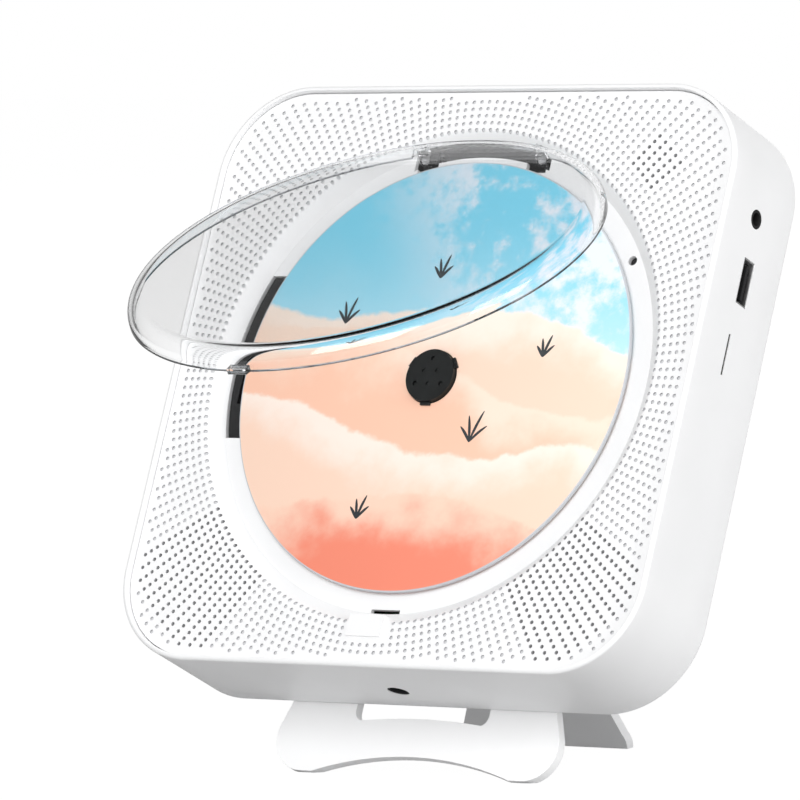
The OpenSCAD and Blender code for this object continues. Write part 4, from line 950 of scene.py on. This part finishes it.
def lathe(profile, count):
    """A closed (radius, depth) profile turned about the y axis."""
    a = np.radians(np.arange(count) * 360 / count)
    points = np.stack([profile[:, 0] * np.cos(a)[:, None],
                       np.broadcast_to(profile[:, 1], (count, len(profile))),
                       profile[:, 0] * np.sin(a)[:, None]], axis=-1)
    return points, grid(count, len(profile), close_rows=True, close_columns=True)


def disc_uv(points):
    """u = x / 120 + 0.5 and v = z / 120 + 0.5 on the disc's own plane."""
    return points[:, [0, 2]] / (2 * DISC_R) + 0.5


TUFTS = [(-31, 14, 3.4), (16, -18, 4.0), (33, 6, 2.8), (-14, -40, 3.0), (-4, 27, 3.0)]
BLADES = [(-34, 0.8), (-12, 1.15), (9, 0.95), (31, 0.7)]


def tuft(u, v, foot_u, foot_v, length):
    """Four bent grass blades from one foot: 1 where (a / half)^2 + (b / slim)^2 < 1."""
    shape = None
    for swing, reach in BLADES:
        a = math.radians(90 + swing)
        half = length * reach
        along = (u - foot_u) * math.cos(a) + (v - foot_v) * math.sin(a) - half
        across = (v - foot_v) * math.cos(a) - (u - foot_u) * math.sin(a)
        bent = (across - (along + half) * (along + half) * (0.0009 * swing)) / 0.42
        along = along / half
        blade = (along * along + bent * bent).below(1.0)
        shape = blade if shape is None else shape.most(blade)
    return shape


def disc_finish():
    """A low landscape of washed bands, dunes under a blue sky, with tufts of grass printed over it."""
    finish = Finish("disc_print", IOR=1.46, **{"Coat Weight": 0.12, "Coat Roughness": 0.15})
    at = finish.spot(uv=True)
    split = finish.node("ShaderNodeSeparateXYZ", {}, {0: at})
    u = (finish.number(split, 0) - 0.5) * (2 * DISC_R)
    v = (finish.number(split, 1) - 0.5) * (2 * DISC_R)
    reach = (u * u + v * v).root()
    wash = finish.noise(4, 5, 0.55, at=at)
    fine = finish.noise(24, 4, 0.6, at=at)
    ragged = (wash - 0.5) * 18 + (fine - 0.5) * 6
    sky = finish.blend((v + ragged).ramp(-8, 46), (0.52, 0.80, 0.91), (0.20, 0.65, 0.85))
    haze = finish.blend((wash * 0.6 + fine * 0.4).ramp(0.42, 0.56), sky, (0.78, 0.83, 0.90))
    art = finish.blend((v * 0.4 + u * 0.6).ramp(-6, 30), sky, haze)
    layers = [(17, 0.050, 0.6, 5, (0.93, 0.66, 0.52), (0.95, 0.82, 0.72)),
              (3, 0.041, 2.9, 7, (0.93, 0.56, 0.41), (0.95, 0.74, 0.61)),
              (-16, 0.060, 4.4, 5, (0.93, 0.66, 0.52), (0.95, 0.82, 0.73)),
              (-37, 0.047, 1.1, 6, (0.88, 0.26, 0.17), (0.93, 0.64, 0.50))]
    for level, rate, phase, swell, low, high in layers:
        crest = (u * rate + phase).sine() * swell + ragged * 0.55 - u * 0.12 + level
        tone = finish.blend(((crest - v) / 16 + (wash - 0.5) * 2.2).ramp(0.0, 1.0), high, low)
        art = finish.blend((crest - v).ramp(0.0, 1.6), art, tone)
    marks = None
    for foot_u, foot_v, length in TUFTS:
        one = tuft(u, v, foot_u, foot_v, length)
        marks = one if marks is None else marks.most(one)
    art = finish.blend(marks, art, (0.035, 0.04, 0.045))
    art = finish.blend(reach.ramp(59.5, 59.7), art, (0.55, 0.57, 0.60))
    finish.feed(Base_Color=art, Roughness=0.34 + fine * 0.1)
    finish.bump(fine, 0.01, 0.1)
    return finish.material


FINISHES["disc_print"] = disc_finish()
disc = piece("printed_disc", *lathe(disc_profile, 240), FINISHES["disc_print"],
             body="disc_table", uv=disc_uv)
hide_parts("disc")

# %% [markdown]
# ## Floor, backdrop and light
# A product photograph has no horizon: the object stands on white that goes on for ever. The
# floor takes the object's soft shadow, and camera and refracted rays see it as nearly plain
# white. The light on the object is a dim even sky with three large soft lamps, one in
# front, one at the right and a weak one behind, so that the white plastic keeps its shading.

# %% Stage
FLOOR_GREY, FLOOR_GLOW, FLOOR_KEEP, FLOOR_HALF, FLOOR_DROP = 0.55, 1.10, 0.12, 3.0, 0.0002
SKY_LEVEL, SKY_GLOSS, SKY_ASIDE = 0.45, 0.1, 0.06


def white_stage(name, keep):
    """A matt floor; camera and refracted rays see mostly white, and this share of its shading."""
    finish = Finish(name, Roughness=0.9, **{"Base Color": (FLOOR_GREY,) * 3})
    path = finish.node("ShaderNodeLightPath", {}, {})
    seen = finish.number(path, "Is Camera Ray").most(finish.number(path, "Is Transmission Ray"))
    glow = finish.node("ShaderNodeEmission", {}, {"Color": (1, 1, 1), "Strength": FLOOR_GLOW})
    finish.show_instead(seen * (1 - keep), glow)
    return finish.material


floor_points = [(x * FLOOR_HALF, y * FLOOR_HALF, -FLOOR_DROP)
                for x, y in ((-1, -1), (1, -1), (1, 1), (-1, 1))]
floor_mesh = bpy.data.meshes.new("floor")
floor_mesh.from_pydata(floor_points, [], [(0, 1, 2, 3)])
floor_mesh.materials.append(white_stage("floor_white", FLOOR_KEEP))
floor = bpy.data.objects.new("floor", floor_mesh)
bpy.context.scene.collection.objects.link(floor)


def studio_sky(world, forward, level):
    """Strength by kind of ray: camera 1, refracted 1 near the view's line and dark elsewhere,
    glossy dim, and all others the given level."""
    sky = Tree(world)
    path = sky.node("ShaderNodeLightPath", {}, {})
    camera, bent = sky.number(path, "Is Camera Ray"), sky.number(path, "Is Transmission Ray")
    to = sky.node("ShaderNodeTexCoord", {}, {}).outputs["Generated"]
    ahead = sky.node("ShaderNodeVectorMath", {"operation": "DOT_PRODUCT"}, {0: to, 1: forward})
    ahead = sky.number(ahead, "Value").ramp(0.82, 0.95)
    dimmed = level - sky.number(path, "Is Glossy Ray") * (level - SKY_GLOSS)
    strength = camera + bent * (SKY_ASIDE + ahead * (1 - SKY_ASIDE)) + (1.0 - camera - bent) * dimmed
    light = sky.node("ShaderNodeBackground", {}, {"Color": (1, 1, 1), "Strength": strength})
    sky.node("ShaderNodeOutputWorld", {}, {"Surface": light.outputs[0]})


bpy.context.scene.world = bpy.data.worlds.new("studio")
studio_sky(bpy.context.scene.world, tuple(turn(-back)), SKY_LEVEL)


def lamp(name, at, size, watts):
    """A square soft lamp at a point of the player's frame, in metres, aimed at the disc."""
    data = bpy.data.lights.new(name, "AREA")
    data.shape, data.size, data.energy = "SQUARE", size, watts
    made = bpy.data.objects.new(name, data)
    bpy.context.scene.collection.objects.link(made)
    made.location = Vector(place(np.array([at]) * 1000)[0])
    made.rotation_mode = "QUATERNION"
    made.rotation_quaternion = (Vector(CENTRE) - made.location).to_track_quat("-Z", "Y")


lamp("key", (0.6, -2.3, 0.1), 1.6, 43)
lamp("side", (2.2, -0.4, 0.5), 1.2, 23)
lamp("behind", (-0.6, 2.3, 0.9), 1.6, 14)
bpy.context.scene.view_settings.view_transform = "Standard"
print("stage ready")
